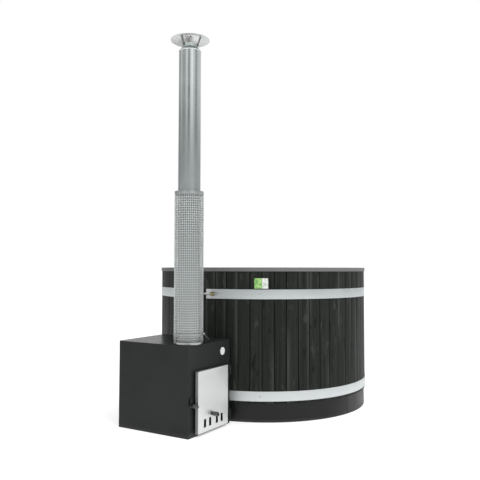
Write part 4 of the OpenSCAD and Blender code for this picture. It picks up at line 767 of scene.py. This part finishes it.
# Under the hat, t from the middle to the edge: radius R t, height rise (1 - t) + swell t sin 2 pi n t.
t = np.linspace(0.002, 1, 40)
swell = swell_h * np.sin(2 * swells * math.pi * t) * t
under = np.stack([hat_r * t, hat_z + hat_rise * (1 - t) + swell], -1)
q = np.linspace(-math.pi / 2, math.pi / 2, 7)
edge = np.stack([hat_r + roll_r * np.cos(q), hat_z + hat_t / 2 + roll_r * np.sin(q)], -1)
hat = turned(np.concatenate([under, edge, under[::-1] + (0, hat_t)]), 160, flue_axis)
hat_steel = Finish("spun_steel")
place = hat_steel.coords()
x, y, z = hat_steel.split(place)
dx, dy = x - flue_x, y - flue_y
away = (dx * dx + dy * dy).maths("SQRT")
brushed(hat_steel, hat_steel.join(away * 1500, 0.0, 0.0), place, tint(236, 238, 237), 0.47, 0.00001, smudge=0.3)
painted_light_over_flue = hat_steel.band(away, 0.085, 0.02)
# The spinning lines show in the gloss and the relief alone: the colour is even, but over the flue it is painted
# paler, a painted light against the shade and the dark reflection of the open pipe.
hat_steel.set({"Base Color": hat_steel.mix(painted_light_over_flue, tint(214, 217, 216), tint(252, 253, 252))})
spout = turned(cone, 144, flue_axis)
fit(skin("spout_cone", (spout, True)), flue_steel, "flue_steel", "tub", "hat_collar")
fit(skin("spun_hat", (hat, False)), hat_steel, "hat_steel", "tub", "rain_hat")
rivet = [(rivet_r, 0.0), (rivet_r, 0.0008), (0.0045, 0.0021), (0.0025, 0.0029), (0.0004, 0.0031)]
rivet_az, rivets = np.radians([-47.0, 73.0, 193.0]), []
for below_top in (0.0125, 0.046):
    spot = turned(rivet, 20, (flue_r - 0.0005, 0, flue_top - below_top), "x")
    rivets.append((round_tub(spot, rivet_az) + flue_axis, False))
fit(skin("pipe_rivets", *rivets), hat_steel, "hat_steel", "tub")
dress(sheet_steel("strap_steel", tint(128, 131, 131), 0.4, (300, 300, 60), 0.0006), "hat_legs")

# Door: a folded stainless tray, brushed level, with a lining plate and a braided rope seal behind it. It
# hangs on two lift-off hinges, and four slots at its foot let in air past a slide.

door_face, door_middle, slots_half, slot_foot, slot_head = 0.236, -1.0475, 0.1072, 0.046, 0.102
door_steel = sheet_steel("door_steel", tint(233, 235, 234), 0.46, (30, 9, 1100), 0.0014, {"Anisotropic": 0.4})
x, y, z = door_steel.split(door_steel.coords())
# Behind its face the sheet is painted darker, as the shade on its flanges, and in the slots it is painted nearly
# black, as their shade.
painted_shade_behind = door_steel.band(x, door_face - 0.0004, door_face - 0.0014)
off_door_middle = (y - door_middle).maths("ABSOLUTE")
at_slots = door_steel.band(z, slot_foot, slot_foot + 0.001) * door_steel.band(z, slot_head, slot_head - 0.001)
at_slots = at_slots * door_steel.band(off_door_middle, slots_half, slots_half - 0.001)
even = door_steel.mix(0.5, door_steel.fed("Base Color"), tint(226, 228, 227))
shaded_flanges = door_steel.mix(painted_shade_behind, even, tint(168, 170, 169))
door_steel.set({"Base Color": door_steel.mix(painted_shade_behind * at_slots, shaded_flanges, tint(30, 30, 30))})
dress(door_steel, "door_tray")
# The lining plate and the rails are painted dark, as the shade in the gap beside the door.
dress(sheet_steel("inner_steel", tint(52, 51, 50), 0.55, (60, 12, 700)), "door_back", "slider_rails")
dress(sheet_steel("slide_steel", tint(30, 30, 29), 0.6, (60, 12, 700)), "air_slider")
dress(sheet_steel("latch_steel", tint(120, 122, 121), 0.36, (500, 500, 500), 0.0007), "latch_pin", "latch_lever")

mouth_low, mouth_high, rope_r, rope_in = (-1.1575, 0.056), (-0.9375, 0.350), 0.0045, 0.004
rope_x, rope_turn, strand_l = 0.2112, 0.012, 0.018


def braid(outline_steps=1400, sides=18):
    """The rope seal: a rectangle with round corners, and round it a section whose radius carries two crossed
    sets of strands: r = R (0.86 + 0.14 max(|sin(3 a + k s)|, |sin(3 a - k s)|))."""
    grow = rope_in + rope_r
    (y0, z0), (y1, z1) = mouth_low, mouth_high
    line = strip(y0 - grow, y1 + grow, z0 - grow, z1 + grow, rope_turn, 12)
    closed = np.concatenate([line, line[:1]])
    run = np.concatenate([[0], np.cumsum(np.linalg.norm(np.diff(closed, axis=0), axis=1))])
    s = np.linspace(0, run[-1], outline_steps, endpoint=False)
    path = np.stack([np.interp(s, run, closed[:, i]) for i in range(2)], -1)
    along = np.roll(path, -1, 0) - np.roll(path, 1, 0)
    along /= np.linalg.norm(along, axis=1, keepdims=True)
    side = np.stack([along[:, 1], -along[:, 0]], -1)
    a = full_turn(sides)[None]
    k = 2 * math.pi * round(run[-1] / strand_l) / run[-1]
    twist = k * s[:, None]
    r = rope_r * (0.86 + 0.14 * np.maximum(np.abs(np.sin(3 * a + twist)), np.abs(np.sin(3 * a - twist))))
    flat = path[:, None] + (r * np.cos(a))[..., None] * side[:, None]
    points = np.stack([rope_x + r * np.sin(a), flat[..., 0], flat[..., 1]], -1)[None]
    grain = np.stack([s[:, None] + 0 * a, a + 0 * s[:, None], 0 * r], -1)[None]
    return points, True, grain


glass_rope = Finish("glass_rope", {"Roughness": 0.9, "Sheen Weight": 0.3}, 0.2)
run_m, turn_a, _ = glass_rope.grain()
yarn = glass_rope.noise(glass_rope.join(run_m * 900, turn_a * 9, 0.0), 1.0, 2.0)
glass_rope.set({"Base Color": glass_rope.mix(yarn, tint(52, 50, 46), tint(96, 93, 86)),
                "Normal": glass_rope.relief(yarn, 0.0004, 0.8)})
fit(skin("braided_seal", braid(), crease=80.0), glass_rope, "rope", "door", "door_rope")

# Grips: spring wire wound close on the slide's stem and on the latch's stem, so that they stay cool. The wire
# is round, its ends are cut square, and the fire has taken some of its shine.

grip_r, grip_wire, grip_pitch = 0.0135, 0.002, 0.005
slide_grip_at, slide_turns, latch_grip_at, latch_turns = (0.2406, -1.06125, 0.118), 8, (0.2133, -1.230, 0.192), 6


def wound(start, turns, steps=30, sides=14):
    """Wire on a helix along X: centre = (p s, R cos 2 pi s, R sin 2 pi s), and round it a circle in the plane
    square to the wire, spanned by the outward direction and its cross product with the wire's direction."""
    middle = grip_r - grip_wire
    s = np.linspace(0, turns, turns * steps + 1)[:, None]
    a = 2 * math.pi * s
    rise = math.atan(grip_pitch / (2 * math.pi * middle))
    centre = np.concatenate([grip_pitch * s, middle * np.cos(a), middle * np.sin(a)], 1)
    outward = np.concatenate([0 * a, np.cos(a), np.sin(a)], 1)
    side = np.concatenate([np.cos(rise) + 0 * a, np.sin(rise) * np.sin(a), -np.sin(rise) * np.cos(a)], 1)
    b = full_turn(sides)
    ring = np.cos(b)[:, None] * outward[:, None] + np.sin(b)[:, None] * side[:, None]
    return (centre[:, None] + grip_wire * ring + np.asarray(start))[None], False


grip_steel = Finish("grip_wire", {"Metallic": 1.0})
place = grip_steel.coords()
wear = grip_steel.noise(place, 60.0, 4.0, 0.6)
grip_steel.set({"Base Color": grip_steel.mix(wear, tint(84, 86, 85), tint(128, 130, 128)),
                "Roughness": grip_steel.band(wear, 0.3, 0.7, 0.3, 0.46),
                "Normal": grip_steel.relief(grip_steel.noise(place, 900.0), 0.00005)})
fit(skin("slide_grip_wire", wound(slide_grip_at, slide_turns)), grip_steel, "grip_wire", "slider", "slider_grip")
fit(skin("latch_grip_wire", wound(latch_grip_at, latch_turns)), grip_steel, "grip_wire", "latch", "latch_grip")

# Plate: a small blank plate of printed aluminium, bent to the staves above the upper hoop. Its left part is
# green and the rest white, both a little mottled, with nothing on it.

plate_from, plate_to, plate_low, plate_high = math.radians(-64.6), math.radians(-57.95), 0.888, 0.957
plate_in, plate_out, green_share = tub_r - 0.0004, tub_r + 0.0008, 0.54
outline = strip(plate_in, plate_out, plate_low, plate_high, 0.0003, 2)
points, grain = arc(outline, np.linspace(plate_from, plate_to, 25)[None])
print_ink = Finish("plate_enamel", {"Roughness": 0.35})
round_m, _, _ = print_ink.grain()
share = (round_m / tub_r - plate_from) / (plate_to - plate_from)
mottle = print_ink.noise(print_ink.coords(), 220.0, 3.0)
cloud = print_ink.band(print_ink.noise(print_ink.coords(), 46.0, 2.0), 0.47, 0.60)
green = print_ink.mix(cloud, print_ink.mix(mottle, tint(96, 150, 76), tint(108, 164, 88)), tint(150, 188, 112))
white = print_ink.mix(cloud, print_ink.mix(mottle, tint(204, 207, 202), tint(214, 217, 212)), tint(176, 186, 172))
print_ink.set({"Base Color": print_ink.mix(print_ink.band(share, green_share, green_share + 0.01), green, white),
               "Normal": print_ink.relief(mottle, 0.00005)})
fit(skin("blank_plate", (points, False, grain)), print_ink, "plug_white", "tub")

# Stage: a plain pale floor, a white room whose walls are lighter and darker strips, one soft panel above that
# doesn't show in the steel, and a camera that stands where the photograph was taken from.

floor_r, floor_drop, floor_sides = 30.0, 0.0003, 96
a = full_turn(floor_sides)
floor_rim = np.stack([floor_r * np.cos(a), floor_r * np.sin(a), 0 * a - floor_drop], -1)
ground = bpy.data.meshes.new("pale_floor")
ground.from_pydata(floor_rim, [], [list(range(floor_sides))])
floor = put("pale_floor", ground)
glow = {"Roughness": 0.9, "Emission Color": (1.0, 1.0, 1.0), "Emission Strength": 0.42}
paper = Finish("pale_paper", glow, 0.0)
fleck = paper.noise(paper.coords(), 3.0, 3.0)
paper.set({"Base Color": paper.mix(fleck, (0.69, 0.69, 0.69), (0.71, 0.71, 0.71))})
ground.materials.append(paper.material)


class Room(Finish):
    """The light from all round, on the nodes of the world."""

    def __init__(self, world):
        world.use_nodes = True
        self.tree = world.node_tree
        self.shader = self.tree.nodes["Background"]


world = bpy.data.worlds.new("studio")
bpy.context.scene.world = world
room = Room(world)
x, y, z = room.split(room.node("ShaderNodeTexCoord", out="Generated"))
around = (y.maths("ARCTAN2", x) / (2 * math.pi) + 1.0).maths("FRACT")
# Each strip of wall: its direction in degrees, and how light it is. A ramp holds them as shares of a full turn.
walls = sorted([(az % 360 / 360, light) for az, light in (
    (-162, 0.42), (-148, 0.85), (-132, 0.42), (-112, 0.38), (-92, 0.66), (-85, 0.80), (-81, 1.40), (-76, 0.50),
    (-66, 0.26), (-54, 0.26), (-46, 0.95), (-28, 1.25), (-21, 0.80), (-4, 0.72), (8, 0.30), (22, 0.36),
    (38, 0.70), (62, 0.74), (90, 0.76), (126, 0.78), (150, 0.70), (170, 0.36))])
wall_light = room.node("ShaderNodeValToRGB", {"stops": walls}, {0: around})
roof = room.band(z, 0.30, 0.85)
bright = room.mix(roof, wall_light, (1.30, 1.30, 1.30))
seen = room.node("ShaderNodeLightPath", out="Is Camera Ray")
room.set({"Color": room.mix(seen, bright, (1.0, 1.0, 1.0)), "Strength": 1.0})

panel_at, panel_aim, panel_wide, panel_power = np.array([3.6, -2.2, 4.6]), (0, -0.4, 0.4), 3.0, 150
lamp = bpy.data.lights.new("panel_high", "AREA")
lamp.shape, lamp.size, lamp.size_y, lamp.energy = "RECTANGLE", panel_wide, panel_wide, panel_power
panel = put("panel_high", lamp)
way = panel_aim - panel_at
tilt, heading = math.atan2(math.hypot(way[0], way[1]), -way[2]), math.atan2(way[1], way[0])
panel.location, panel.rotation_euler = panel_at, (tilt, 0, heading - math.pi / 2)
panel.visible_glossy = False
bpy.context.scene.view_settings.view_transform = "Standard"

lens = bpy.data.cameras.new("lens")
lens.sensor_fit, lens.sensor_width, lens.lens = "HORIZONTAL", 36.0, 44.55
camera = put("camera", lens)
camera.location = (2.3433, -4.1820, 1.0158)
camera.rotation_euler = (math.radians(92.842), math.radians(-0.077), math.radians(31.42))
bpy.context.scene.camera = camera
